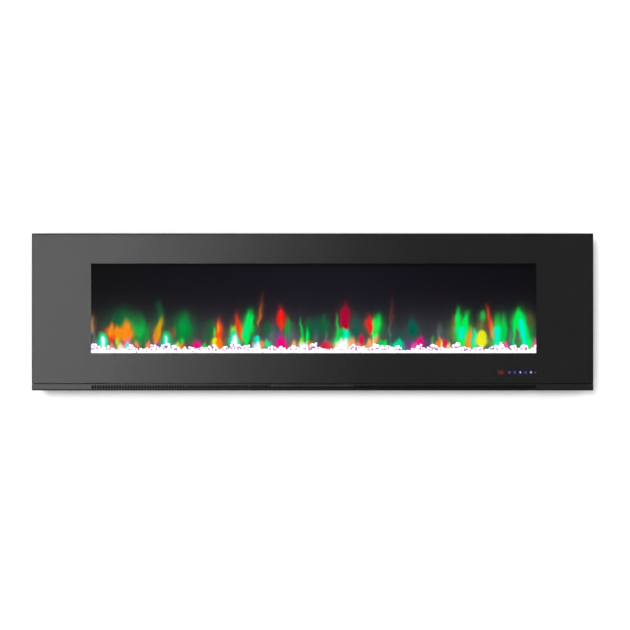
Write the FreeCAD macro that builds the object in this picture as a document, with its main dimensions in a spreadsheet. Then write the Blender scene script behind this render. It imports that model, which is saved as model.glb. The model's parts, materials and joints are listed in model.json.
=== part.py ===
"""Wall-hung linear electric fireplace, in millimetres, +Z up, +Y into the wall.

The origin is the centre of the wall bracket's screw pattern, on the wall plane y = 0.
The front of the unit faces -Y.  Every piece is an object of one parametric document,
bound to the cells of the sheet "Dims".
"""
import FreeCAD
import Part
import Sketcher
import math
import os
import re

DIMS = {
    # whole unit
    "unit_width": 1829, "unit_height": 512, "unit_depth": 140, "unit_bottom": -380,
    "edge_step": 4, "sheet_steel": 1.2, "rear_gap": 14, "frame_depth": 126, "lip_length": 12,
    # glass front and its window
    "glass_thickness": 4, "print_thickness": 0.3, "strip_height": 21, "strip_gap": 0.8,
    "window_left": -722, "window_right": 729, "window_top": 34, "window_bottom": -258,
    "window_reveal": 3, "glass_bevel": 0.8,
    # slotted outlet strip
    "slot_pitch": 9, "slot_count": 161, "slot_width": 6, "slot_height": 13, "slot_centre": 11,
    "strip_bend": 4,
    # rear cover, its screws and air intake, and the spacers behind it
    "case_screw_span": 1680, "case_screw_count": 9, "case_screw_inset": 7, "case_screw_reach": 8,
    "case_screw_shank": 1.7, "case_screw_head": 3.5, "case_screw_crown": 2.4,
    "intake_width": 5, "intake_height": 30, "intake_pitch": 10, "intake_count": 29,
    "intake_rise": 8, "spacer_spread": 800, "spacer_level": -340, "spacer_radius": 14,
    # front rails and the rubber pads on them
    "rail_lip": 8, "rail_notch": 3, "pad_spread": 870, "pad_upper": 100, "pad_lower": -340,
    "pad_radius": 7, "pad_fit": 0.3,
    # touch panel
    "touch_height": 59, "key_first": 642, "key_pitch": 17.5, "key_width": 12.5, "display_centre": 616,
    "display_width": 26, "display_height": 16, "lamp_centre": 726, "lamp_radius": 2,
    "touch_board_depth": 131.5, "touch_board_left": 595, "touch_board_right": 745,
    "touch_board_half": 12, "guide_fit": 0.4, "post_radius": 3, "post_inset": 8,
    "receiver_left": 752, "receiver_width": 8, "receiver_half": 5,
    # wall bracket and hanger
    "bracket_half": 600, "bracket_plate": 2, "bracket_foot": -28, "bracket_shelf": 22,
    "bracket_reach": 10, "lip_top": 36, "screw_span": 812.8, "screw_rise": 25, "screw_hole": 3,
    "hanger_half": 550, "hanger_steel": 1.5, "hook_inner": 6, "hook_drop": 10, "hanger_foot": 30,
    # cleats that carry the glass front
    "cleat_width": 40, "cleat_upper": 85, "cleat_lower": -322, "cleat_drop": 10, "cleat_foot": 20,
    "cleat_lip": 131.4, "cleat_leg": 128.8, "cleat_high_spread": 600, "cleat_high_inner": 150,
    "cleat_low_spread": 790, "cleat_low_inner": 300,
    # firebox
    "box_half": 745, "box_ceiling": 50, "shelf_height": -296, "screen_depth": 75,
    "screen_thickness": 3, "screen_top": 48, "tray_floor": -284, "tray_rear": 78,
    "tray_front": 119, "tray_sheet": 2.5, "tray_lip": 20, "bed_height": 48, "bed_crown": 54,
    "liner_depth": 20, "box_flange": 12, "bed_overhang": 12, "leg_count": 7, "leg_pitch": 230,
    "leg_half": 6, "leg_depth": 12, "bed_strip_depth": 108, "board_thickness": 1.6,
    "strip_board_width": 12, "strip_board_half": 720, "light_count": 36, "light_pitch": 40,
    "light_half": 2.5, "light_lead_x": -700, "light_lead_hole": 4,
    # flame rods
    "rod_depth": 45, "rod_height": -264, "rod_radius": 3, "pin_radius": 2, "running_fit": 0.05,
    "rod_end": 782, "vane_reach": 16, "vane_length": 22, "vane_pitch": 30, "vane_count": 24,
    "vane_thickness": 0.5, "vane_twist": 77, "motor_face": 776, "motor_radius": 21,
    "motor_length": 18, "gear_cap": 16, "gear_cap_radius": 15, "bearing_half": 6,
    "bearing_reach": 8, "bearing_top": 7, "first_vane": 28, "coupling_start": 752,
    "coupling_length": 16, "coupling_radius": 6.5, "bracket_top": -238, "bracket_front": 68,
    "bracket_back": 22, "bracket_hole": 8,
    # blower and heater
    "fan_depth": 55, "fan_height": -338, "fan_radius": 25, "fan_half": 148, "fan_shaft": 2.5,
    "scroll_radius": 31, "scroll_sheet": 1, "duct_half": 152, "blade_count": 24,
    "blade_chord": 6, "blade_thickness": 0.8, "heater_low": 98, "heater_high": 112,
    "heater_half": 140, "heater_top": -346, "roof_height": -343.5, "throat_height": -359,
    "blade_lean": 25, "disc_thickness": 2, "end_plate": 1.5, "end_plate_back": 20,
    "fan_motor_radius": 22, "fan_motor_length": 38, "fin_count": 48, "fin_half": 0.4,
    "heater_inset": 8, "heater_end": 6, "heater_bar": 2.5, "heater_bar_pitch": 7.5,
    "heater_lead_y": -104, "heater_lead_z": -352, "heater_lead_hole": 4, "cutout_x": 60,
    "cutout_length": 7, "cutout_radius": 8,
    # rocker switch and cord gland on the right-hand side
    "rocker_depth": 60, "rocker_height": -300, "rocker_half_tall": 10, "rocker_half_wide": 6.5,
    "rocker_body": 21, "rocker_pivot": 5.5, "rocker_tilt": 12, "button_half": 8, "button_inner": 4,
    "button_outer": 3.6, "button_crown": 5.3, "button_side": 5,
    "gland_depth": 40, "gland_height": -350, "gland_radius": 6, "gland_bore": 3.8,
    "gland_flange": 8, "gland_reach": 12,
    # power board in the right-hand bay
    "board_left": 765, "board_right": 885, "board_bottom": -230, "board_top": -120,
    "board_standoff": 8,
}

# Levels that follow from the driving dimensions
HALF_WIDTH = "(unit_width / 2)"
SIDE = "(unit_width / 2 - edge_step)"
TOP = "(unit_bottom + unit_height - edge_step)"
FLOOR = "(unit_bottom + edge_step)"
GLASS_FOOT = "(unit_bottom + strip_height + strip_gap)"
GLASS_HEAD = "(unit_bottom + unit_height)"
GLASS_FRONT = "(-unit_depth)"
GLASS_BACK = "(glass_thickness - unit_depth)"
PRINT_BACK = "(glass_thickness + print_thickness - unit_depth)"
FRAME_FRONT = "(-frame_depth)"
FRAME_BACK = "(sheet_steel - frame_depth)"
REAR_FACE = "(-rear_gap)"
REAR_INSIDE = "(-rear_gap - sheet_steel)"
OPEN_LEFT = "(window_left - window_reveal)"
OPEN_RIGHT = "(window_right + window_reveal)"
OPEN_TOP = "(window_top + window_reveal)"
OPEN_BOTTOM = "(window_bottom - window_reveal)"
SHELF_TOP = "(shelf_height + sheet_steel)"
KEY_HEIGHT = "(unit_bottom + touch_height)"
KEY_COUNT = 5

doc = FreeCAD.newDocument("fireplace")
sheet = doc.addObject("Spreadsheet::Sheet", "Dims")
for row_number, (alias, size) in enumerate(DIMS.items(), 1):
    sheet.set(f"A{row_number}", alias)
    sheet.set(f"B{row_number}", str(size))
    sheet.setAlias(f"B{row_number}", alias)
doc.recompute()
NODES = []


def formula(text):
    """The same formula with every driving dimension read from the sheet."""
    return re.sub(r"[a-z][a-z_]+", lambda m: f"Dims.{m[0]}" if m[0] in DIMS else m[0], str(text))


def number(text):
    """What a formula is worth now, for a sketch's first drawing."""
    result = sheet.evalExpression(formula(text))
    return float(getattr(result, "Value", result))


def bind(thing, size, text):
    thing.setExpression(size, formula(text))


def node(thing):
    """Marks an object as a finished sub-part, which is written to its own file."""
    NODES.append(thing)
    return thing


# ---------------------------------------------------------------- Part primitives

TURN = {
    "x": FreeCAD.Rotation(FreeCAD.Vector(0, 1, 0), 90),
    "y": FreeCAD.Rotation(FreeCAD.Vector(1, 0, 0), -90),
    "z": FreeCAD.Rotation(),
}


def block(name, x, y, z):
    """A box given as a (low, high) pair of formulas along each axis."""
    box = doc.addObject("Part::Box", name)
    for axis, size, (low, high) in (("x", "Length", x), ("y", "Width", y), ("z", "Height", z)):
        bind(box, size, f"({high}) - ({low})")
        bind(box, f"Placement.Base.{axis}", low)
    return box


def cylinder(name, axis, base, length, radius, angle=360):
    """A round bar from base=(x, y, z), running along one axis."""
    bar = doc.addObject("Part::Cylinder", name)
    bar.Placement = FreeCAD.Placement(FreeCAD.Vector(), TURN[axis])
    for letter, place in zip("xyz", base):
        bind(bar, f"Placement.Base.{letter}", place)
    bind(bar, "Height", length)
    bind(bar, "Radius", radius)
    bar.Angle = angle
    return bar


def cut(name, base, *tools):
    """The base with one or more tools taken out of it."""
    difference = doc.addObject("Part::Cut", name)
    difference.Base = base
    difference.Tool = tools[0] if len(tools) == 1 else bundle(f"{name}_tools", tools)
    return difference


def fuse(name, *pieces):
    union = doc.addObject("Part::MultiFuse", name)
    union.Shapes = list(pieces)
    return union


def bundle(name, pieces):
    """Separate solids kept together in one node."""
    compound = doc.addObject("Part::Compound", name)
    compound.Links = list(pieces)
    return compound


# ------------------------------------------------------------- PartDesign features

def new_body(name):
    body = doc.addObject("PartDesign::Body", name)
    body.AllowCompound = True
    return body


def sketch_on(body, plane, name, offset=("0", "0", "0")):
    """A sketch on one of the body's own origin planes, moved by an offset in its axes."""
    sketch = body.newObject("Sketcher::SketchObject", name)
    face = next(feature for feature in body.Origin.OriginFeatures if feature.Role == plane)
    sketch.AttachmentSupport = (face, [""])
    sketch.MapMode = "FlatFace"
    for letter, place in zip("xyz", offset):
        bind(sketch, f"AttachmentOffset.Base.{letter}", place)
    return sketch


def hold(sketch, kind, *where):
    """A driving constraint; the last item of where is its formula."""
    index = sketch.addConstraint(Sketcher.Constraint(kind, *where[:-1], number(where[-1])))
    sketch.setExpression(f"Constraints[{index}]", formula(where[-1]))


def draw_polygon(sketch, corners):
    """A closed outline of straight sides, each corner placed from the sketch origin."""
    first = sketch.GeometryCount
    points = [FreeCAD.Vector(number(across), number(up), 0) for across, up in corners]
    count = len(points)
    for index in range(count):
        sketch.addGeometry(Part.LineSegment(points[index], points[(index + 1) % count]), False)
    for index, (across, up) in enumerate(corners):
        after = first + (index + 1) % count
        sketch.addConstraint(Sketcher.Constraint("Coincident", first + index, 2, after, 1))
        hold(sketch, "DistanceX", first + index, 1, across)
        hold(sketch, "DistanceY", first + index, 1, up)


def draw_circle(sketch, across, up, radius):
    index = sketch.GeometryCount
    centre = FreeCAD.Vector(number(across), number(up), 0)
    sketch.addGeometry(Part.Circle(centre, FreeCAD.Vector(0, 0, 1), number(radius)), False)
    hold(sketch, "DistanceX", index, 3, across)
    hold(sketch, "DistanceY", index, 3, up)
    hold(sketch, "Radius", index, radius)


def rectangle(x, y):
    """The four corners of a rectangle from (low, high) pairs."""
    return [(x[0], y[0]), (x[1], y[0]), (x[1], y[1]), (x[0], y[1])]


def draw_slot(sketch, across, up, width, height):
    """An upright slot with round ends, centred at (across, up)."""
    first = sketch.GeometryCount
    radius = number(width) / 2
    reach = (number(height) - number(width)) / 2
    x_mid, y_mid = number(across), number(up)
    axis = FreeCAD.Vector(0, 0, 1)
    upper = Part.Circle(FreeCAD.Vector(x_mid, y_mid + reach, 0), axis, radius)
    lower = Part.Circle(FreeCAD.Vector(x_mid, y_mid - reach, 0), axis, radius)
    sketch.addGeometry(Part.ArcOfCircle(upper, 0, math.pi), False)
    sketch.addGeometry(Part.ArcOfCircle(lower, math.pi, 2 * math.pi), False)
    for side, start, end in ((-radius, reach, -reach), (radius, -reach, reach)):
        line = Part.LineSegment(FreeCAD.Vector(x_mid + side, y_mid + start, 0),
                                FreeCAD.Vector(x_mid + side, y_mid + end, 0))
        sketch.addGeometry(line, False)
    for one, its_end, other, other_end in ((0, 2, 2, 1), (2, 2, 1, 1), (1, 2, 3, 1), (3, 2, 0, 1)):
        joint = Sketcher.Constraint("Tangent", first + one, its_end, first + other, other_end)
        sketch.addConstraint(joint)
    sketch.addConstraint(Sketcher.Constraint("Vertical", first + 2))
    sketch.addConstraint(Sketcher.Constraint("Equal", first, first + 1))
    hold(sketch, "Radius", first, f"{width} / 2")
    hold(sketch, "DistanceX", first, 3, across)
    hold(sketch, "DistanceY", first, 3, f"{up} + ({height} - {width}) / 2")
    hold(sketch, "DistanceY", first + 1, 3, first, 3, f"{height} - {width}")


PLANE = {"x": "YZ_Plane", "y": "XZ_Plane", "z": "XY_Plane"}


def extruded(name, axis, outline, low, high, holes=(), circles=()):
    """A body padded from an outline, between two levels along one axis."""
    body = new_body(name)
    level = f"-({high})" if axis == "y" else low
    sketch = sketch_on(body, PLANE[axis], f"{name}_outline", ("0", "0", level))
    draw_polygon(sketch, outline)
    for hole in holes:
        draw_polygon(sketch, hole)
    for circle in circles:
        draw_circle(sketch, *circle)
    pad = body.newObject("PartDesign::Pad", f"{name}_pad")
    pad.Profile = sketch
    bind(pad, "Length", f"({high}) - ({low})")
    return body


def turned(name, depth, height, profile):
    """A body of revolution about an axis along X; profile is a list of (x, radius)."""
    body = new_body(name)
    sketch = sketch_on(body, "XZ_Plane", f"{name}_profile", ("0", height, depth))
    draw_polygon(sketch, profile)
    spin = body.newObject("PartDesign::Revolution", f"{name}_spin")
    spin.Profile = sketch
    spin.ReferenceAxis = (sketch, ["H_Axis"])
    spin.Angle = 360
    return body


def slot_row(body, name, centre, size, level, depth, pitch, count, outward=True):
    """A row of upright slots along X, cut through a plate that faces -Y."""
    sketch = sketch_on(body, "XZ_Plane", f"{name}_slot", ("0", "0", level))
    draw_slot(sketch, f"-({count} - 1) * {pitch} / 2 + {centre[0]}", centre[1], *size)
    doc.recompute()
    before = body.Shape.Volume
    pocket = body.newObject("PartDesign::Pocket", f"{name}_cut")
    pocket.Profile = sketch
    bind(pocket, "Length", depth)
    pocket.Reversed = outward
    pattern = body.newObject("PartDesign::LinearPattern", f"{name}_row")
    pattern.Originals = [pocket]
    pattern.Direction = (sketch, ["H_Axis"])
    bind(pattern, "Length", f"({count} - 1) * {pitch}")
    bind(pattern, "Occurrences", count)
    body.Tip = pattern
    doc.recompute()
    if before - body.Shape.Volume < 1:
        raise ValueError(f"{name}: the slots cut nothing")


def bent_strip(points, thickness):
    """The closed outline of a sheet bent along points, thickened to the left of its path.

    Every run follows one axis of the sketch, so a corner moves by the sum of its two normals.
    """
    def side(start, end):
        across = number(f"({end[0]}) - ({start[0]})")
        up = number(f"({end[1]}) - ({start[1]})")
        length = math.hypot(across, up)
        return round(-up / length), round(across / length)

    normals = [side(one, two) for one, two in zip(points, points[1:])]
    outline = list(points)
    for index in range(len(points) - 1, -1, -1):
        touching = {normals[max(index - 1, 0)], normals[min(index, len(normals) - 1)]}
        right = sum(normal[0] for normal in touching)
        up = sum(normal[1] for normal in touching)
        across, height = points[index]
        outline.append((f"{across} + ({right}) * {thickness}", f"{height} + ({up}) * {thickness}"))
    return outline


# --------------------------------------------------------------- wall side and hanger

def wall_bracket():
    """A long Z rail: plate on the wall, shelf, and the lip that the unit hangs on."""
    reach = "(-bracket_reach)"
    plate = "bracket_plate"
    outline = [
        ("0", "bracket_foot"), ("0", "bracket_shelf"),
        (f"{reach} + {plate}", "bracket_shelf"), (f"{reach} + {plate}", "lip_top"),
        (reach, "lip_top"), (reach, f"bracket_shelf - {plate}"),
        (f"-{plate}", f"bracket_shelf - {plate}"), (f"-{plate}", "bracket_foot"),
    ]
    body = extruded("wall_bracket", "x", outline, "-bracket_half", "bracket_half")
    sketch = sketch_on(body, "XZ_Plane", "wall_bracket_holes", ("0", "0", f"{plate}"))
    for across in (-1, 1):
        for up in (-1, 1):
            draw_circle(sketch, f"{across} * screw_span / 2", f"{up} * screw_rise / 2", "screw_hole")
    pocket = body.newObject("PartDesign::Pocket", "wall_bracket_drill")
    pocket.Profile = sketch
    bind(pocket, "Length", plate)
    node(body)


def hanger_rail():
    """The hook on the back of the unit that drops behind the bracket's lip."""
    steel = "hanger_steel"
    foot_face = f"({REAR_FACE} + {steel})"
    outline = [
        (REAR_FACE, "lip_top"), (f"-hook_inner", "lip_top"),
        (f"-hook_inner", "lip_top - hook_drop"), (f"{steel} - hook_inner", "lip_top - hook_drop"),
        (f"{steel} - hook_inner", f"lip_top + {steel}"), (foot_face, f"lip_top + {steel}"),
        (foot_face, "lip_top + hanger_foot"), (REAR_FACE, "lip_top + hanger_foot"),
    ]
    node(extruded("hanger_rail", "x", outline, "-hanger_half", "hanger_half"))


def wall_spacers():
    """Two rubber feet that keep the lower edge parallel to the wall."""
    feet = []
    for index, side in enumerate((-1, 1)):
        foot = cylinder(f"wall_spacer_{index}", "y", (f"{side} * spacer_spread", REAR_FACE, "spacer_level"),
                        "rear_gap", "spacer_radius")
        feet.append(foot)
    node(bundle("wall_spacers", feet))


# ------------------------------------------------------------------------- cabinet

def case_screws():
    """Pan-head screws along the top and bottom edges of the rear cover."""
    body = new_body("case_screws")
    turns = []
    tip, crown = f"{REAR_FACE} - case_screw_reach", f"{REAR_FACE} + 2"
    profile = [
        ("0", tip), ("case_screw_shank", tip), ("case_screw_shank", REAR_FACE),
        ("case_screw_head", REAR_FACE), ("case_screw_head", f"{REAR_FACE} + 1"),
        ("case_screw_crown", crown), ("0", crown),
    ]
    for name, height in (("upper", f"{TOP} - case_screw_inset"),
                         ("lower", f"{FLOOR} + case_screw_inset")):
        sketch = sketch_on(body, "XY_Plane", f"screw_{name}", ("-case_screw_span / 2", "0", height))
        draw_polygon(sketch, profile)
        turn = body.newObject("PartDesign::Revolution", f"screw_{name}_turn")
        turn.Profile = sketch
        turn.ReferenceAxis = (sketch, ["V_Axis"])
        turn.Angle = 360
        turns.append(turn)
    pattern = body.newObject("PartDesign::LinearPattern", "screw_row")
    pattern.Originals = turns
    pattern.Direction = (sketch, ["H_Axis"])
    bind(pattern, "Length", "case_screw_span")
    bind(pattern, "Occurrences", "case_screw_count")
    body.Tip = pattern
    return node(body)


def cabinet_shell(screws):
    """Top and floor, two sides, and the rear cover with its air intake."""
    front, back, steel, lip = FRAME_BACK, REAR_INSIDE, "sheet_steel", "lip_length"
    top_path = [(front, f"{TOP} - {lip}"), (front, TOP), (back, TOP), (back, f"{TOP} - {lip}")]
    top = extruded("cabinet_top_sheet", "x", bent_strip(top_path[::-1], steel), f"-{SIDE}", SIDE)
    floor_path = [(front, FLOOR), (back, FLOOR), (back, f"{FLOOR} + {lip}")]
    floor = extruded("cabinet_floor_sheet", "x", bent_strip(floor_path, steel), f"-{SIDE}", SIDE)
    node(cut("cabinet_top", top, screws))
    node(cut("cabinet_floor", floor, screws))
    cover = extruded("rear_cover_sheet", "y", rectangle((f"-{SIDE}", SIDE), (FLOOR, TOP)),
                     back, REAR_FACE)
    slot_row(cover, "intake", ("0", "fan_height + intake_rise"), ("intake_width", "intake_height"),
             f"-({back})", "2 * sheet_steel", "intake_pitch", "intake_count", outward=False)
    node(cut("rear_cover", cover, screws))
    low, high = f"{FLOOR} + {steel}", f"{TOP} - {steel}"
    y_span = (f"{front} + {steel}", f"{back} - {steel}")
    node(block("cabinet_side_left", (f"-{SIDE}", f"-{SIDE} + {steel}"), y_span, (low, high)))
    wall = block("side_right_sheet", (f"{SIDE} - {steel}", SIDE), y_span, (low, high))
    half_tall, half_wide = "rocker_half_tall", "rocker_half_wide"
    switch_hole = block("switch_cutout", (f"{SIDE} - 5", f"{SIDE} + 5"),
                        (f"-rocker_depth - {half_wide}", f"-rocker_depth + {half_wide}"),
                        (f"rocker_height - {half_tall}", f"rocker_height + {half_tall}"))
    gland_hole = cylinder("gland_cutout", "x", (f"{SIDE} - 5", "-gland_depth", "gland_height"),
                          "10", "gland_radius")
    node(cut("cabinet_side_right", wall, switch_hole, gland_hole))


def front_frame():
    """Four sheet rails round the window, on the front of the cabinet."""
    lip, steel = "rail_lip", "sheet_steel"
    face, inside = FRAME_FRONT, FRAME_BACK
    strip_top = "(unit_bottom + strip_height)"
    upper = [(face, OPEN_TOP), (face, TOP), (inside, TOP), (inside, f"{OPEN_TOP} + {steel}"),
             (f"{inside} + {lip}", f"{OPEN_TOP} + {steel}"), (f"{inside} + {lip}", OPEN_TOP)]
    lower = [(face, OPEN_BOTTOM), (face, f"{strip_top} - {steel}"),
             (inside, f"{strip_top} - {steel}"), (inside, f"{OPEN_BOTTOM} - {steel}"),
             (f"{inside} + {lip}", f"{OPEN_BOTTOM} - {steel}"), (f"{inside} + {lip}", OPEN_BOTTOM)]
    for name, outline, level in (("top", upper, OPEN_TOP), ("bottom", lower, OPEN_BOTTOM)):
        rail = extruded(f"rail_sheet_{name}", "x", outline, f"-{SIDE}", SIDE)
        depth, height = (inside, f"{inside} + {lip} + 1"), (f"{level} - rail_notch",
                                                         f"{level} + rail_notch")
        notches = [block(f"rail_notch_{name}_left", (f"-{SIDE} - 1", "1 - box_half"), depth, height),
                   block(f"rail_notch_{name}_right", ("box_half - 1", f"{SIDE} + 1"), depth, height)]
        node(cut(f"front_rail_{name}", rail, *notches))
    for name, outer, inner, way in (("left", f"-{SIDE}", OPEN_LEFT, -1),
                                    ("right", SIDE, OPEN_RIGHT, 1)):
        bend = f"{inner} + ({way}) * {steel}"
        outline = [(inner, face), (outer, face), (outer, inside), (bend, inside),
                   (bend, f"{inside} + {lip}"), (inner, f"{inside} + {lip}")]
        node(extruded(f"front_rail_{name}", "z", outline, OPEN_BOTTOM, OPEN_TOP))


def round_edge(body, name, place, radius):
    """Rounds the edge of a sheet that runs along X at one (y, z) place."""
    doc.recompute()
    depth, height = (number(level) for level in place)
    edges = [f"Edge{index}" for index, edge in enumerate(body.Shape.Edges, 1)
             if edge.BoundBox.XLength > 1 and abs(edge.Vertexes[0].Y - depth) < 0.01
             and abs(edge.Vertexes[0].Z - height) < 0.01]
    plain = body.Tip
    rounding = body.newObject("PartDesign::Fillet", name)
    rounding.Base = (plain, edges)
    bind(rounding, "Radius", radius)
    body.Tip = rounding


def vent_strip():
    """The slotted trim under the glass, where the warm air comes out."""
    steel = "sheet_steel"
    low, high = "unit_bottom", "(unit_bottom + strip_height)"
    path = [(FRAME_FRONT, high), (GLASS_FRONT, high), (GLASS_FRONT, low), (FRAME_FRONT, low)]
    outline = bent_strip(path, steel)
    body = extruded("vent_strip", "x", outline, f"-{HALF_WIDTH}", HALF_WIDTH)
    round_edge(body, "vent_strip_bend", (GLASS_FRONT, low), "strip_bend")
    round_edge(body, "vent_strip_inner_bend", (f"{GLASS_FRONT} + {steel}", f"{low} + {steel}"),
               f"strip_bend - {steel}")
    slot_row(body, "outlet", ("(window_left + window_right) / 2", f"{low} + slot_centre"),
             ("slot_width", "slot_height"), f"-({GLASS_FRONT}) - 2", "4", "slot_pitch", "slot_count")
    node(body)


def cleats():
    """Hooks on the back of the glass that drop over hooks on the front rails."""
    steel, half = "sheet_steel", "cleat_width / 2"
    panel, cabinet = [], []
    rows = (("high", "cleat_upper", ("cleat_high_spread", "cleat_high_inner")),
            ("low", "cleat_lower", ("cleat_low_spread", "cleat_low_inner")))
    for row, level, places in rows:
        leg_face = f"(-cleat_leg - {steel})"
        panel_outline = [
            (PRINT_BACK, level), (leg_face, level), (leg_face, f"{level} - cleat_drop"),
            ("-cleat_leg", f"{level} - cleat_drop"), ("-cleat_leg", f"{level} + {steel}"),
            (f"{PRINT_BACK} + {steel}", f"{level} + {steel}"),
            (f"{PRINT_BACK} + {steel}", f"{level} + cleat_foot"),
            (PRINT_BACK, f"{level} + cleat_foot"),
        ]
        shelf = f"({level} - cleat_drop - 2)"
        cabinet_outline = [
            ("-cleat_lip", level), (f"-cleat_lip - {steel}", level),
            (f"-cleat_lip - {steel}", f"{shelf} - {steel}"),
            (f"{FRAME_FRONT} - {steel}", f"{shelf} - {steel}"),
            (f"{FRAME_FRONT} - {steel}", f"{shelf} - 15"), (FRAME_FRONT, f"{shelf} - 15"),
            (FRAME_FRONT, shelf), ("-cleat_lip", shelf),
        ]
        for place in places:
            for side in (-1, 1):
                span = (f"{side} * {place} - {half}", f"{side} * {place} + {half}")
                tag = f"{row}_{len(panel)}"
                panel.append(extruded(f"panel_cleat_{tag}", "x", panel_outline, *span))
                cabinet.append(extruded(f"rail_cleat_{tag}", "x", cabinet_outline, *span))
    node(bundle("panel_cleats", panel))
    node(bundle("rail_cleats", cabinet))


def panel_pads():
    """Rubber pads on the rails that steady the glass near its corners."""
    pads = []
    start = f"({PRINT_BACK} + pad_fit)"
    for across in ("-pad_spread", "pad_spread"):
        for up in ("pad_upper", "pad_lower"):
            pads.append(cylinder(f"panel_pad_{len(pads)}", "y", (across, start, up),
                                 f"{FRAME_FRONT} - {start}", "pad_radius"))
    node(bundle("panel_pads", pads))


# --------------------------------------------------------------------- glass front

def glass_front():
    """Toughened glass with a black print behind it that leaves the window and lamps clear."""
    outline = rectangle((f"-{HALF_WIDTH}", HALF_WIDTH), (GLASS_FOOT, GLASS_HEAD))
    glass = extruded("front_glass", "y", outline, GLASS_FRONT, GLASS_BACK)
    bevel = glass.newObject("PartDesign::Chamfer", "glass_edges")
    bevel.Base = (glass.Group[1], [""])
    bevel.UseAllEdges = True
    bind(bevel, "Size", "glass_bevel")
    glass.Tip = bevel
    node(glass)
    edge = "glass_bevel"
    outline = rectangle((f"-{HALF_WIDTH} + {edge}", f"{HALF_WIDTH} - {edge}"),
                        (f"{GLASS_FOOT} + {edge}", f"{GLASS_HEAD} - {edge}"))
    holes = [rectangle(("window_left", "window_right"), ("window_bottom", "window_top"))]
    holes += [rectangle(across, up) for across, up in lamp_spans()]
    lamp = ("lamp_centre", KEY_HEIGHT, "lamp_radius")
    node(extruded("glass_print", "y", outline, GLASS_BACK, PRINT_BACK, holes, [lamp]))


def lamp_spans():
    """The display and the five touch keys, as (x, z) pairs of spans."""
    tall = "display_height / 2"
    display = (("display_centre - display_width / 2", "display_centre + display_width / 2"),
               (f"{KEY_HEIGHT} - {tall}", f"{KEY_HEIGHT} + {tall}"))
    spans = [display]
    for index in range(KEY_COUNT):
        middle = f"(key_first + {index} * key_pitch)"
        spans.append(((f"{middle} - key_width / 2", f"{middle} + key_width / 2"),
                      (f"{KEY_HEIGHT} - key_width / 2", f"{KEY_HEIGHT} + key_width / 2")))
    return spans


def touch_panel():
    """The touch board on the lower rail, its light guides and the remote receiver.

    Returns the posts that the board stands on.
    """
    board_back, board_front = "(-touch_board_depth)", "(-touch_board_depth - board_thickness)"
    guide_front = f"({PRINT_BACK} + guide_fit)"
    node(block("touch_board", ("touch_board_left", "touch_board_right"), (board_front, board_back),
               (f"{KEY_HEIGHT} - touch_board_half", f"{KEY_HEIGHT} + touch_board_half")))
    guides = []
    for index, (across, up) in enumerate(lamp_spans()):
        inside = [(f"{low} + guide_fit", f"{high} - guide_fit") for low, high in (across, up)]
        guides.append(block(f"light_guide_{index}", inside[0], (guide_front, board_front),
                            inside[1]))
    guides.append(cylinder("light_guide_lamp", "y", ("lamp_centre", guide_front, KEY_HEIGHT),
                           f"{board_front} - {guide_front}", "lamp_radius - guide_fit"))
    node(bundle("touch_light_guides", guides))
    posts = [cylinder(f"touch_post_{index}", "y", (across, board_back, KEY_HEIGHT),
                      f"{FRAME_FRONT} - {board_back}", "post_radius")
             for index, across in enumerate(("touch_board_left + post_inset",
                                             "touch_board_right - post_inset"))]
    node(block("remote_receiver", ("receiver_left", "receiver_left + receiver_width"),
               (f"{FRAME_FRONT} - receiver_half", FRAME_FRONT),
               (f"{KEY_HEIGHT} - receiver_half", f"{KEY_HEIGHT} + receiver_half")))
    return posts


# ------------------------------------------------------------------------- firebox

def firebox():
    """The dark box behind the window: sides, ceiling, shelf and rear liner."""
    steel, depth = "sheet_steel", (FRAME_BACK, REAR_INSIDE)
    for name, way in (("left", -1), ("right", 1)):
        wall, flange = f"({way}) * box_half", f"({way}) * (box_half + box_flange)"
        outer = f"({way}) * (box_half + {steel})"
        front, back = depth
        outline = [(wall, front), (flange, front), (flange, f"{front} + {steel}"),
                   (outer, f"{front} + {steel}"), (outer, f"{back} - {steel}"),
                   (flange, f"{back} - {steel}"), (flange, back), (wall, back)]
        sheet_side = extruded(f"side_sheet_{name}", "z", outline, "shelf_height", "box_ceiling")
        passage = cylinder(f"rod_passage_{name}", "x", (f"{wall} - 5", "-rod_depth", "rod_height"),
                           "10", "vane_reach + 3")
        node(cut(f"firebox_side_{name}", sheet_side, passage))
    width = ("-box_half", "box_half")
    liner = ("-liner_depth", f"-liner_depth + {steel}")
    node(block("firebox_ceiling", width, (FRAME_BACK, liner[0]), (f"box_ceiling - {steel}",
                                                               "box_ceiling")))
    shelf = block("shelf_sheet", width, depth, ("shelf_height", SHELF_TOP))
    hole = cylinder("shelf_lead_hole", "z", ("light_lead_x", "-bed_strip_depth",
                                             "shelf_height - sheet_steel"),
                    "3 * sheet_steel", "light_lead_hole")
    node(cut("component_shelf", shelf, hole))
    node(block("rear_liner", width, liner, (SHELF_TOP, "box_ceiling")))
    node(block("flame_screen", ("-box_half + 0.5", "box_half - 0.5"),
               ("-screen_depth", "screen_thickness - screen_depth"), (SHELF_TOP, "screen_top")))


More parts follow.
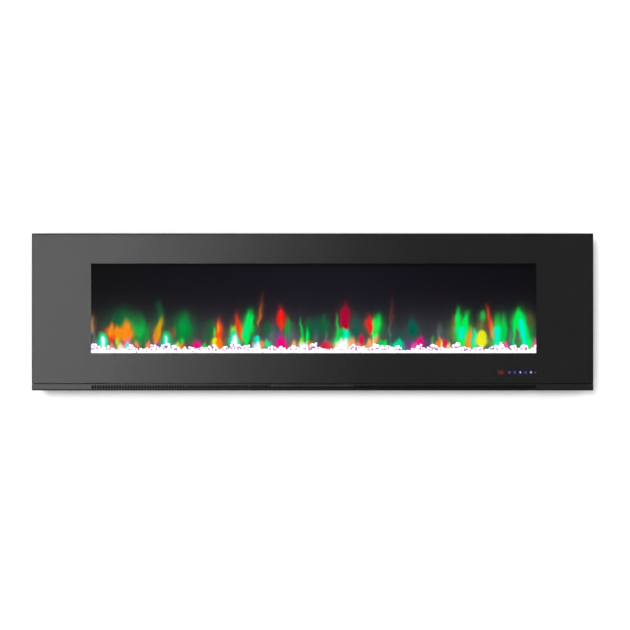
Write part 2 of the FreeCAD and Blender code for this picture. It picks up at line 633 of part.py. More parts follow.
def ember_bed():
    """A clear tray behind the window's lower edge, and the crystals heaped in it."""
    wall = "tray_sheet"
    front, back = "(-tray_front)", "(-tray_rear)"
    path = [(front, "tray_floor + tray_lip"), (front, "tray_floor"), (back, "tray_floor"),
            (back, "tray_floor + tray_lip")]
    node(extruded("ember_tray", "x", bent_strip(path, wall), "-box_half + 1", "box_half - 1"))
    base = f"(tray_floor + {wall})"
    crown = f"({base} + bed_crown)"
    inner_front, inner_back = f"({front} + {wall} + 0.5)", f"({back} - {wall} - 0.5)"
    heap = [(inner_front, base), (inner_back, base), (inner_back, f"{base} + bed_height - 2"),
            (f"{inner_back} - 10", crown), (f"{inner_front} + 12", f"{crown} - 2"),
            (inner_front, f"{base} + bed_height - 6")]
    node(extruded("ember_crystals", "x", heap, "window_left - bed_overhang",
                  "window_right + bed_overhang"))
    legs = []
    for index in range(DIMS["leg_count"]):
        across = f"({index} - (leg_count - 1) / 2) * leg_pitch"
        legs.append(block(f"tray_leg_{index}", (f"{across} - leg_half", f"{across} + leg_half"),
                          ("-tray_rear - leg_depth", "-tray_rear"), (SHELF_TOP, "tray_floor")))
    node(bundle("tray_supports", legs))


def light_strips():
    """Coloured light strips under the ember tray and under the flame rods."""
    board_top = f"({SHELF_TOP} + board_thickness)"
    for name, depth in (("ember_light_strip", "bed_strip_depth"),
                        ("flame_light_strip", "rod_depth")):
        y_span = (f"-{depth} - strip_board_width / 2", f"-{depth} + strip_board_width / 2")
        board = block(f"{name}_board", ("-strip_board_half", "strip_board_half"), y_span,
                      (SHELF_TOP, board_top))
        lamps = []
        for index in range(DIMS["light_count"]):
            across = f"({index} - (light_count - 1) / 2) * light_pitch"
            lamps.append(block(f"{name}_lamp_{index}",
                               (f"{across} - light_half", f"{across} + light_half"),
                               (f"-{depth} - light_half", f"-{depth} + light_half"),
                               (board_top, f"{board_top} + board_thickness")))
        node(bundle(name, [board] + lamps))


# ---------------------------------------------------------------------- flame rods

def flame_rods():
    """Two vaned rods in line, each turned by a gearmotor at its outer end."""
    motors, brackets = [], []
    for name, way in (("left", -1), ("right", 1)):
        at = ("rod_depth", "rod_height")
        profile = [(f"{way} * 1", "0"), (f"{way} * 1", "pin_radius"),
                   (f"{way} * (bearing_half + 0.5)", "pin_radius"),
                   (f"{way} * (bearing_half + 0.5)", "rod_radius"),
                   (f"{way} * rod_end", "rod_radius"), (f"{way} * rod_end", "0")]
        rod = turned(f"rod_core_{name}", *at, profile)
        node(fuse(f"flame_rod_{name}", rod, vanes(name, way)))
        sleeve_start = f"{way} * coupling_start"
        sleeve_end = f"{way} * (coupling_start + coupling_length)"
        sleeve = [(sleeve_start, "rod_radius"), (sleeve_start, "coupling_radius"),
                  (sleeve_end, "coupling_radius"), (sleeve_end, "rod_radius")]
        node(turned(f"rod_coupling_{name}", *at, sleeve))
        face, end = f"{way} * motor_face", f"{way} * (motor_face + motor_length)"
        bore, stop = "(rod_radius + running_fit)", f"{way} * (rod_end + 0.5)"
        can = f"{way} * (motor_face + motor_length + gear_cap)"
        motor = [(face, bore), (face, "motor_radius"), (end, "motor_radius"),
                 (end, "gear_cap_radius"), (can, "gear_cap_radius"), (can, "0"), (stop, "0"), (stop, bore)]
        motors.append(turned(f"rod_motor_{name}", *at, motor))
        inner = f"{way} * (box_half + sheet_steel)"
        plate = f"{way} * (motor_face - sheet_steel)"
        outline = [(inner, SHELF_TOP), (face, SHELF_TOP), (face, "bracket_top"),
                   (plate, "bracket_top"),
                   (plate, f"{SHELF_TOP} + sheet_steel"), (inner, f"{SHELF_TOP} + sheet_steel")]
        angle = extruded(f"motor_angle_{name}", "y", outline, "-bracket_front",
                         "-bracket_back")
        hole = cylinder(f"motor_hole_{name}", "x", (f"{face} - 5", "-rod_depth", "rod_height"),
                        "10", "bracket_hole")
        brackets.append(cut(f"motor_bracket_{name}", angle, hole))
    node(bundle("rod_motors", motors))
    node(bundle("motor_brackets", brackets))
    post = block("bearing_post", ("-bearing_half", "bearing_half"),
                 ("-rod_depth - bearing_reach", "-rod_depth + bearing_reach"),
                 (f"{SHELF_TOP} + board_thickness + 2", "rod_height + bearing_top"))
    foot = block("bearing_foot", ("-bearing_half", "bearing_half"),
                 ("-rod_depth + bearing_reach", "-liner_depth"),
                 (SHELF_TOP, "rod_height + bearing_top"))
    bore = cylinder("bearing_bore", "x", ("-bearing_half - 1", "-rod_depth", "rod_height"),
                    "2 * bearing_half + 2", "pin_radius + running_fit")
    node(cut("rod_centre_bearing", fuse("bearing_block", post, foot), bore))


def vanes(name, way):
    """Bright vanes in a slow twist along one rod."""
    blades = []
    for index in range(DIMS["vane_count"]):
        middle = f"{way} * (first_vane + {index} * vane_pitch)"
        blade = block(f"vane_{name}_{index}", ("0", "vane_length"), ("0", "vane_thickness"),
                      ("0", "vane_reach"))
        turn = FreeCAD.Rotation(FreeCAD.Vector(1, 0, 0), way * index * DIMS["vane_twist"])
        blade.Placement = FreeCAD.Placement(FreeCAD.Vector(), turn)
        bind(blade, "Placement.Base.x", f"{middle} - vane_length / 2")
        bind(blade, "Placement.Base.y", "-rod_depth")
        bind(blade, "Placement.Base.z", "rod_height")
        blades.append(blade)
    core = cylinder(f"vane_core_{name}", "x", (f"{min(way, 0)} * rod_end", "-rod_depth",
                                               "rod_height"), "rod_end", "rod_radius")
    return cut(f"vanes_{name}", bundle(f"vane_set_{name}", blades), core)


# --------------------------------------------------------------- blower and heater

def blower():
    """A cross-flow blower in a scroll, with its shaft, end plates and motor."""
    centre = ("-fan_depth", "fan_height")
    parts = []
    for index, start in enumerate(("-fan_half", "-disc_thickness / 2",
                                   "fan_half - disc_thickness")):
        parts.append(cylinder(f"fan_disc_{index}", "x", (start, *centre), "disc_thickness",
                              "fan_radius"))
    for index in range(DIMS["blade_count"]):
        angle = 360 / DIMS["blade_count"] * index
        blade = block(f"fan_blade_{index}", ("0", "2 * fan_half"), ("0", "blade_thickness"),
                      ("0", "blade_chord"))
        lean = FreeCAD.Rotation(FreeCAD.Vector(1, 0, 0), angle + DIMS["blade_lean"])
        blade.Placement = FreeCAD.Placement(FreeCAD.Vector(), lean)
        radius = "(fan_radius - blade_chord)"
        bind(blade, "Placement.Base.x", "-fan_half")
        bind(blade, "Placement.Base.y", f"-fan_depth - {radius} * sin({angle} deg)")
        bind(blade, "Placement.Base.z", f"fan_height + {radius} * cos({angle} deg)")
        parts.append(blade)
    wheel = fuse("fan_wheel", *parts)
    bore = cylinder("fan_bore", "x", ("-fan_half - 1", *centre), "2 * fan_half + 2", "fan_shaft")
    node(cut("blower_impeller", wheel, bore))
    at = ("fan_depth", "fan_height")
    shaft = [("-duct_half - 8", "0"), ("-duct_half - 8", "fan_shaft"),
             ("duct_half + 20", "fan_shaft"), ("duct_half + 20", "0")]
    node(turned("blower_shaft", *at, shaft))
    gap = "(fan_shaft + running_fit)"
    shell = cylinder("scroll_outer", "x", ("-duct_half", *centre), "2 * duct_half",
                     "scroll_radius + scroll_sheet", 210)
    hollow = cylinder("scroll_inner", "x", ("-duct_half - 1", *centre), "2 * duct_half + 2",
                      "scroll_radius")
    base = "(fan_height - scroll_radius - scroll_sheet)"
    floor = block("scroll_floor", ("-duct_half", "duct_half"), (FRAME_BACK, "-fan_depth"),
                  (base, f"{base} + scroll_sheet"))
    node(fuse("blower_scroll", cut("scroll_shell", shell, hollow), floor))
    step = "scroll_sheet"
    roof = [("-fan_depth - scroll_radius + 1", "roof_height"), ("-heater_high - 1", "roof_height"),
            (FRAME_BACK, "throat_height"), (FRAME_BACK, f"throat_height + {step} * 1.6"),
            ("-heater_high - 1", f"roof_height + {step}"),
            ("-fan_depth - scroll_radius + 1", f"roof_height + {step}")]
    node(extruded("duct_roof", "x", roof, "-duct_half", "duct_half"))
    plates = []
    for index, start in enumerate(("-duct_half - end_plate", "duct_half")):
        plate = block(f"end_plate_{index}", (start, f"{start} + end_plate"),
                      (FRAME_BACK, "-end_plate_back"), (base, "shelf_height"))
        eye = cylinder(f"end_plate_eye_{index}", "x", (f"{start} - 1", *centre), "4", gap)
        lead_hole = cylinder(f"end_plate_hole_{index}", "x",
                             (f"{start} - 1", "heater_lead_y", "heater_lead_z"), "4",
                             "heater_lead_hole")
        plates.append(cut(f"end_plate_cut_{index}", plate, eye, lead_hole))
    node(bundle("blower_end_plates", plates))
    face, socket = "(duct_half + end_plate)", "(duct_half + end_plate + 20)"
    end, wide, narrow = f"({face} + fan_motor_length)", "fan_motor_radius", "fan_motor_radius - 11"
    motor = [(face, gap), (face, narrow), (f"{face} + 4", wide), (f"{end} - 4", wide),
             (end, narrow), (end, "0"), (socket, "0"), (socket, gap)]
    node(turned("blower_motor", *at, motor))


def heater():
    """A finned ceramic heater across the duct, in two insulating end blocks."""
    depth, base = ("-heater_high", "-heater_low"), "(fan_height - scroll_radius)"
    fins = []
    row = "(2 * (heater_half - heater_inset))"
    for index in range(DIMS["fin_count"]):
        across = f"({row} * ({index} / (fin_count - 1) - 0.5))"
        fins.append(block(f"heater_fin_{index}", (f"{across} - fin_half", f"{across} + fin_half"),
                          depth, (f"{base} + 0.5", "heater_top")))
    bars = []
    for index in range(3):
        level = f"({base} + 3 + {index} * heater_bar_pitch)"
        bars.append(block(f"heater_bar_{index}", ("-heater_half + 4", "heater_half - 4"),
                          ("-heater_high + 2", "-heater_low - 2"), (level, f"{level} + heater_bar")))
    node(fuse("heater_core", *bars, *fins))
    ends = []
    for index, side in enumerate((-1, 1)):
        outer, inner = f"{side} * (heater_half + heater_end)", f"{side} * (heater_half - 4)"
        span = (outer, inner) if side < 0 else (inner, outer)
        ends.append(block(f"heater_end_{index}", span, ("-heater_high - 1", "-heater_low + 1"),
                          (base, "roof_height")))
    node(bundle("heater_end_blocks", ends))
    node(cylinder("thermal_cutout", "z", ("cutout_x", "heater_lead_y", "roof_height + scroll_sheet"),
                  "cutout_length", "cutout_radius"))


# --------------------------------------------------- switch, gland and electronics

def rocker_switch():
    """The main switch on the right-hand side: snap-in housing and its rocker."""
    tall, wide = "rocker_half_tall", "rocker_half_wide"
    depth, height = "rocker_depth", "rocker_height"
    outer = block("rocker_shell", (f"{SIDE} - rocker_body", SIDE),
                  (f"-{depth} - {wide}", f"-{depth} + {wide}"),
                  (f"{height} - {tall}", f"{height} + {tall}"))
    bezel = block("rocker_bezel", (SIDE, f"{SIDE} + 1.5"),
                  (f"-{depth} - {wide} - 1.5", f"-{depth} + {wide} + 1.5"),
                  (f"{height} - {tall} - 1.5", f"{height} + {tall} + 1.5"))
    side, end = "(button_side + 0.3)", "(button_half + 1)"
    cavity = block("rocker_cavity", (f"{SIDE} - 12", f"{SIDE} + 3"),
                   (f"-{depth} - {side}", f"-{depth} + {side}"),
                   (f"{height} - {end}", f"{height} + {end}"))
    pivot = f"({SIDE} - rocker_pivot)"
    bore = cylinder("rocker_bore", "y", (pivot, f"-{depth} - {side} - 0.7", height),
                    f"2 * ({side} + 0.7)", "1 + running_fit")
    node(cut("rocker_housing", fuse("rocker_frame", outer, bezel), cavity, bore))
    rocker = new_body("rocker_face")
    sketch = sketch_on(rocker, "XZ_Plane", "rocker_outline", ("0", "0", f"{depth} - button_side"))
    low, half = "-button_inner", "button_half"
    corners = [(low, f"-{half}"), ("button_outer", f"-{half}"), ("button_crown", "0"),
               ("button_outer", half), (low, half)]
    lean = "rocker_tilt"
    draw_polygon(sketch, [(f"{pivot} + ({u}) * cos({lean} * 1 deg) - ({v}) * sin({lean} * 1 deg)",
                           f"{height} + ({u}) * sin({lean} * 1 deg) + ({v}) * cos({lean} * 1 deg)")
                          for u, v in corners])
    pad = rocker.newObject("PartDesign::Pad", "rocker_pad")
    pad.Profile = sketch
    bind(pad, "Length", "2 * button_side")
    pin = cylinder("rocker_pin", "y", (pivot, f"-{depth} - {side} - 0.6", height),
                   f"2 * ({side} + 0.6)", "1")
    node(fuse("rocker_button", rocker, pin))


def cord_gland():
    """A round bush where the supply cord enters the right-hand side."""
    inner, bore = f"({SIDE} - gland_reach)", "gland_bore"
    profile = [(inner, bore), (inner, "gland_radius"), (SIDE, "gland_radius"),
               (SIDE, "gland_flange"), (f"{SIDE} + 1.5", "gland_flange"),
               (f"{SIDE} + 2.5", "gland_flange - 1.5"), (f"{SIDE} + 2.5", bore)]
    node(turned("cord_gland", "gland_depth", "gland_height", profile))


def electronics(posts):
    """Boards and blocks on the inside of the rear cover, in the two side bays."""
    board_face = f"({REAR_INSIDE} - board_standoff)"
    front = f"({board_face} - board_thickness)"
    left, right, low, high = "board_left", "board_right", "board_bottom", "board_top"
    bare = block("board_sheet", (left, right), (front, board_face), (low, high))
    relay = block("board_relay", ("780", "800"), (f"{front} - 15", front), ("-220", "-204"))
    second = block("board_relay_spare", ("808", "828"), (f"{front} - 15", front), ("-220", "-204"))
    coil = block("board_transformer", ("840", "872"), (f"{front} - 26", front), ("-190", "-154"))
    tank = cylinder("board_capacitor", "y", ("792", f"{front} - 22", "-160"), "22", "8")
    chip = block("board_chip", ("812", "824"), (f"{front} - 2", front), ("-180", "-168"))
    node(bundle("power_board", [bare, relay, second, coil, tank, chip]))
    for across in (f"{left} + post_inset", f"{right} - post_inset"):
        for up in (f"{low} + post_inset", f"{high} - post_inset"):
            posts.append(cylinder(f"board_post_{len(posts)}", "y", (across, board_face, up),
                                  "board_standoff", "post_radius"))
    node(bundle("board_posts", posts))
    node(block("light_driver", ("-885", "-775"), (f"{REAR_INSIDE} - 28", REAR_INSIDE),
               ("-200", "-145")))
    node(block("terminal_block", ("790", "850"), (f"{REAR_INSIDE} - 20", REAR_INSIDE),
               ("-335", "-315")))
    node(block("room_sensor", ("-186", "-180"), (f"{REAR_INSIDE} - 4", REAR_INSIDE),
               ("-330", "-318")))


def lead(name, radius, points):
    """A lead laid in straight runs that are joined by tangent arcs."""
    stops = [FreeCAD.Vector(*point) for point in points]
    edges, start = [], stops[0]
    for before, corner, after in zip(stops, stops[1:], stops[2:]):
        into, out = (corner - before).normalize(), (after - corner).normalize()
        trim = 0.45 * min((corner - before).Length, (after - corner).Length, 40)
        turn = into.getAngle(out)
        bend_radius = trim / math.tan(turn / 2)
        begin, end = corner - into * trim, corner + out * trim
        inward = (out - into).normalize()
        reach = bend_radius / math.cos(turn / 2) - bend_radius
        edges.append(Part.LineSegment(start, begin).toShape())
        edges.append(Part.Arc(begin, corner + inward * reach, end).toShape())
        start = end
    edges.append(Part.LineSegment(start, stops[-1]).toShape())
    path = Part.Wire(edges)
    section = Part.Wire(Part.Circle(stops[0], stops[1] - stops[0], radius).toShape())
    tube = path.makePipeShell([section], True, False)
    expected = math.pi * radius ** 2 * path.Length
    if abs(tube.Volume - expected) > 0.01 * expected:
        raise ValueError(f"{name}: the tube's volume is not its section times its length")
    wire = doc.addObject("Part::Feature", name)
    wire.Shape = tube
    return wire


def leads():
    """Wiring inside the unit, from the gland to the boards, the motors and the heater."""
    back = number(REAR_INSIDE) - 10
    board = number(f"{REAR_INSIDE} - board_standoff - board_thickness / 2")
    driver = number(REAR_INSIDE) - 14
    gland_end = number(f"{SIDE} - gland_reach")
    switch_back = number(f"{SIDE} - rocker_body")
    hole, strip = number("light_lead_x"), number("-bed_strip_depth")
    eye_y, eye_z = number("heater_lead_y"), number("heater_lead_z")
    supply = lead("supply_lead", 3, [(gland_end, -40, -350), (868, -40, -350), (840, -30, -354),
                                     (820, back, -356), (820, back, -335)])
    switch = lead("switch_lead", 2, [(switch_back, -60, -300), (868, -60, -300), (848, -45, -297),
                                     (835, back, -294), (835, back, -315)])
    feed = lead("board_lead", 2, [(805, back, -315), (805, back, -290), (808, board, -262),
                                  (808, board, -230)])
    node(bundle("mains_leads", [supply, switch, feed]))
    node(lead("heater_lead", 2.5, [(790, back, -325), (765, back, -325), (740, -92, -328),
                                   (240, -92, -328), (190, eye_y, eye_z), (146, eye_y, eye_z)]))
    right = lead("right_motor_lead", 1.5, [(862, board, -230), (862, board, -250),
                                           (848, -45, -264), (810, -45, -264)])
    left = lead("left_motor_lead", 1.5, [(-850, driver, -200), (-850, driver, -240),
                                         (-845, -45, -264), (-810, -45, -264)])
    lights = lead("light_lead", 1.5, [(-830, driver, -200), (-830, driver, -280),
                                      (-825, -60, -310), (-760, strip, -312), (hole, strip, -312),
                                      (hole, strip, number(SHELF_TOP))])
    node(bundle("low_voltage_leads", [right, left, lights]))


def build():
    wall_bracket()
    hanger_rail()
    wall_spacers()
    cabinet_shell(case_screws())
    front_frame()
    vent_strip()
    cleats()
    panel_pads()
    glass_front()
    posts = touch_panel()
    firebox()
    ember_bed()
    light_strips()
    flame_rods()
    blower()
    heater()
    rocker_switch()
    cord_gland()
    electronics(posts)
    leads()
    doc.recompute()


def export():
    """Checks every object, then writes one file for each sub-part."""
    for thing in doc.Objects:
        if {"Invalid", "Error"} & set(thing.State):
            raise ValueError(f"{thing.Label} failed: {thing.State}")
    for thing in NODES:
        if thing.Shape.isNull() or not thing.Shape.isValid() or thing.Shape.Volume <= 0:
            raise ValueError(f"{thing.Label} has no valid shape")
    os.makedirs("parts", exist_ok=True)
    for thing in NODES:
        thing.Shape.exportStep(f"parts/{thing.Label}.step")
    print(f"{len(NODES)} sub-parts written")


build()
export()
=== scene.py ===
"""The looks of the wall-hung electric fireplace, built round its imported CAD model."""
import json
import math
import random

import bmesh
import bpy
import numpy as np
from mathutils import Euler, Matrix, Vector


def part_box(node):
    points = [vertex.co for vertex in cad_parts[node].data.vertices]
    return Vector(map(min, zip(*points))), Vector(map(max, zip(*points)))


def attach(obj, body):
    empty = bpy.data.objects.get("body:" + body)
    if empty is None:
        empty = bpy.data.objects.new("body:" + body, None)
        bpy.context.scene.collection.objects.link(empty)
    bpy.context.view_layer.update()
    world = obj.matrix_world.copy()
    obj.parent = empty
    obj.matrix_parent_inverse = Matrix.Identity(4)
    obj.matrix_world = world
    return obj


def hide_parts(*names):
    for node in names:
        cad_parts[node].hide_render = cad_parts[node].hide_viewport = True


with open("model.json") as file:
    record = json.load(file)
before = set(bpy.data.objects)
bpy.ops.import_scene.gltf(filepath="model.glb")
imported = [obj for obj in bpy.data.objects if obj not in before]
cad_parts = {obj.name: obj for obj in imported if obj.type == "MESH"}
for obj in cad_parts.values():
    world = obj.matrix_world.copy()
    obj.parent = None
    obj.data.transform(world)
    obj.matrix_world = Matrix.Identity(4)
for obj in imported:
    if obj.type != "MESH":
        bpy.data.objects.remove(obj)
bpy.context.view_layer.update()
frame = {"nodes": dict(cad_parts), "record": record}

MM = 0.001

GLASS_LOW, GLASS_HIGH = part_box("front_glass")
SCREEN_LOW, SCREEN_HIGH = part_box("flame_screen")
BED_LOW, BED_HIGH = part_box("ember_crystals")
GUIDE_LOW, GUIDE_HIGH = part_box("touch_light_guides")

# The clear window in the print: the crystal bed starts 12 mm left of it, and the lower rail
# ends 3 mm below it. Its height is in millimetres.
WINDOW_LEFT = BED_LOW.x + 12 * MM
WINDOW_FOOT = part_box("front_rail_bottom")[1].z + 3 * MM
WINDOW_HEIGHT = 292


# ---------------------------------------------------------------- materials

def to_linear(colour):
    """A screen colour, 0 to 255, as the linear colour that shaders take."""
    scaled = [channel / 255 for channel in colour]
    return tuple(c / 12.92 if c <= 0.04045 else ((c + 0.055) / 1.055) ** 2.4 for c in scaled)


def grey(level, blue=0.0):
    """A linear grey, with a little more blue if asked."""
    return (level, level, level + blue)


def new_material(name):
    """An empty node material: its nodes, its links and its principled shader."""
    material = bpy.data.materials.new(name)
    material.use_nodes = True
    tree = material.node_tree
    return material, tree.nodes, tree.links, tree.nodes["Principled BSDF"]


def set_inputs(node, **values):
    """Sets inputs of a node by name, with an underscore for each space in the name."""
    for socket, value in values.items():
        node.inputs[socket.replace("_", " ")].default_value = value


def noise(nodes, links, scale, stretch=(1, 1, 1), detail=4):
    """Noise that is fixed to the piece; a stretch below 1 draws it out along that axis."""
    place = nodes.new("ShaderNodeTexCoord")
    mapping = nodes.new("ShaderNodeMapping")
    set_inputs(mapping, Scale=stretch)
    texture = nodes.new("ShaderNodeTexNoise")
    set_inputs(texture, Scale=scale, Detail=detail, Roughness=0.55)
    links.new(place.outputs["Object"], mapping.inputs["Vector"])
    links.new(mapping.outputs["Vector"], texture.inputs["Vector"])
    return texture.outputs["Fac"]


def ramp(nodes, links, value, stops):
    """A colour ramp over value. Each stop is (position, linear colour)."""
    node = nodes.new("ShaderNodeValToRGB")
    elements = node.color_ramp.elements
    for position, colour in stops[2:]:
        elements.new(position)
    for element, (position, colour) in zip(elements, stops):
        element.position = position
        element.color = (*colour, 1)
    links.new(value, node.inputs["Fac"])
    return node.outputs["Color"]


def two_tone(nodes, links, value, dark, light, target, low=0.3, high=0.7):
    """Colours target: dark where value is low or less, light where it is high or more."""
    links.new(ramp(nodes, links, value, [(low, dark), (high, light)]), target)


def spread(nodes, links, value, low, high, target):
    """Sends value, which lies between about 0.3 and 0.7, to target as low to high."""
    node = nodes.new("ShaderNodeMapRange")
    set_inputs(node, From_Min=0.3, From_Max=0.7, To_Min=low, To_Max=high)
    links.new(value, node.inputs["Value"])
    links.new(node.outputs["Result"], target)


def bump(nodes, links, value, strength, depth, shader):
    """Raises the surface by value, depth metres at most."""
    node = nodes.new("ShaderNodeBump")
    set_inputs(node, Strength=strength, Distance=depth)
    links.new(value, node.inputs["Height"])
    links.new(node.outputs["Normal"], shader.inputs["Normal"])


def surface(name, dark, light, roughness, grain=900, stretch=(1, 1, 1), relief=0.25,
            depth=0.05 * MM, cloud=14, **constants):
    """A solid finish whose colour drifts between dark and light, with a fine grain."""
    material, nodes, links, shader = new_material(name)
    two_tone(nodes, links, noise(nodes, links, cloud), dark, light, shader.inputs["Base Color"],
             0.35, 0.65)
    fine = noise(nodes, links, grain, stretch)
    spread(nodes, links, fine, *roughness, shader.inputs["Roughness"])
    bump(nodes, links, fine, relief, depth, shader)
    set_inputs(shader, **constants)
    return material


def galvanised(name, dark, light):
    """Zinc with its spangle: flat crystals, each with its own grey and its own gloss."""
    material, nodes, links, shader = new_material(name)
    place = nodes.new("ShaderNodeTexCoord")
    cells = nodes.new("ShaderNodeTexVoronoi")
    set_inputs(cells, Scale=130)
    links.new(place.outputs["Object"], cells.inputs["Vector"])
    tone = nodes.new("ShaderNodeSeparateColor")
    links.new(cells.outputs["Color"], tone.inputs["Color"])
    two_tone(nodes, links, tone.outputs["Red"], dark, light, shader.inputs["Base Color"], 0, 1)
    spread(nodes, links, tone.outputs["Green"], 0.32, 0.46, shader.inputs["Roughness"])
    bump(nodes, links, noise(nodes, links, 700), 0.2, 0.03 * MM, shader)
    set_inputs(shader, Metallic=1.0)
    return material


def mirror_print():
    """The black printed layer, glossy through the glass, with the least unevenness."""
    material, nodes, links, shader = new_material("glass_print")
    wide = noise(nodes, links, 5, detail=2)
    two_tone(nodes, links, wide, grey(0.0030), grey(0.0036), shader.inputs["Base Color"])
    spread(nodes, links, noise(nodes, links, 60), 0.035, 0.045, shader.inputs["Roughness"])
    set_inputs(shader, IOR=1.5, Specular_IOR_Level=1.0)
    return material


def coated_glass():
    """Clear glass with a coating that leaves almost no reflection."""
    material, nodes, links, shader = new_material("front_glass")
    wide = noise(nodes, links, 3, detail=1)
    two_tone(nodes, links, wide, (0.996, 1.0, 0.999), grey(1.0), shader.inputs["Base Color"])
    set_inputs(shader, Roughness=0.0, IOR=1.06, Transmission_Weight=1.0)
    return material


def clear_plastic(name, tint, haze):
    """Clear sheet with a few wipe marks."""
    material, nodes, links, shader = new_material(name)
    marks = noise(nodes, links, 40, (1, 1, 0.2))
    pale = tuple(min(1.0, channel * 1.04) for channel in tint)
    two_tone(nodes, links, marks, tint, pale, shader.inputs["Base Color"])
    spread(nodes, links, marks, haze, haze + 0.06, shader.inputs["Roughness"])
    set_inputs(shader, IOR=1.49, Transmission_Weight=0.9)
    return material


def painted_light(name, attribute):
    """Light whose colour is stored on the mesh, over a dark smoked sheet."""
    material, nodes, links, shader = new_material(name)
    glow = nodes.new("ShaderNodeAttribute")
    glow.attribute_name = attribute
    grain = noise(nodes, links, 500, (1, 1, 0.15))
    two_tone(nodes, links, grain, grey(0.0008), grey(0.0012), shader.inputs["Base Color"])
    links.new(glow.outputs["Color"], shader.inputs["Emission Color"])
    spread(nodes, links, grain, 0.75, 0.85, shader.inputs["Roughness"])
    set_inputs(shader, Emission_Strength=1.0, Specular_IOR_Level=0.02)
    return material


def lit_crystal():
    """Clear crystal lit from below, with painted light and shade: the emission is white where a
    crystal is open, and violet painted shade down in the crevices.

    The painted light turns whiter from 10 mm down to 2 mm above the window's foot, so the lowest
    crystals are white. Soft patches shift it a little either way.
    """
    material, nodes, links, shader = new_material("crystals")
    tint = nodes.new("ShaderNodeAttribute")
    tint.attribute_name = "tint"
    # painted shade: ambient occlusion turns the emitted light violet down in the crevices
    crevice_shade = nodes.new("ShaderNodeAmbientOcclusion")
    crevice_shade.samples = 8
    set_inputs(crevice_shade, Distance=14 * MM)
    place = nodes.new("ShaderNodeTexCoord")
    split = nodes.new("ShaderNodeSeparateXYZ")
    links.new(place.outputs["Object"], split.inputs["Vector"])
    # painted light: the emission turns whiter towards the window's foot
    foot = nodes.new("ShaderNodeMapRange")
    set_inputs(foot, From_Min=WINDOW_FOOT + 10 * MM, From_Max=WINDOW_FOOT + 2 * MM, To_Max=1.0)
    links.new(split.outputs["Z"], foot.inputs["Value"])
    patches = nodes.new("ShaderNodeMapRange")
    set_inputs(patches, From_Min=0.35, From_Max=0.65, To_Min=-0.13, To_Max=0.15)
    links.new(noise(nodes, links, 34, (1, 0.6, 0.8), detail=2), patches.inputs["Value"])
    painted_light_share = crevice_shade.outputs["AO"]
    for extra in (foot.outputs["Result"], patches.outputs["Result"]):
        total = nodes.new("ShaderNodeMath")
        links.new(painted_light_share, total.inputs[0])
        links.new(extra, total.inputs[1])
        painted_light_share = total.outputs["Value"]
    open_light = ramp(nodes, links, painted_light_share, [
        (0.22, (0.07, 0.010, 0.22)), (0.38, (0.30, 0.01, 0.45)), (0.48, (0.85, 0.20, 0.80)),
        (0.58, (1.0, 1.0, 1.0))])
    blend = nodes.new("ShaderNodeMix")
    blend.data_type = "RGBA"
    blend.blend_type = "MULTIPLY"
    blend.inputs["Factor"].default_value = 1.0
    links.new(open_light, blend.inputs["A"])
    links.new(tint.outputs["Color"], blend.inputs["B"])
    links.new(blend.outputs["Result"], shader.inputs["Emission Color"])
    two_tone(nodes, links, noise(nodes, links, 120), grey(0.16, 0.02), grey(0.26, 0.03),
             shader.inputs["Base Color"])
    spread(nodes, links, noise(nodes, links, 300), 0.03, 0.10, shader.inputs["Roughness"])
    set_inputs(shader, Emission_Strength=1.0, IOR=1.52)
    return material


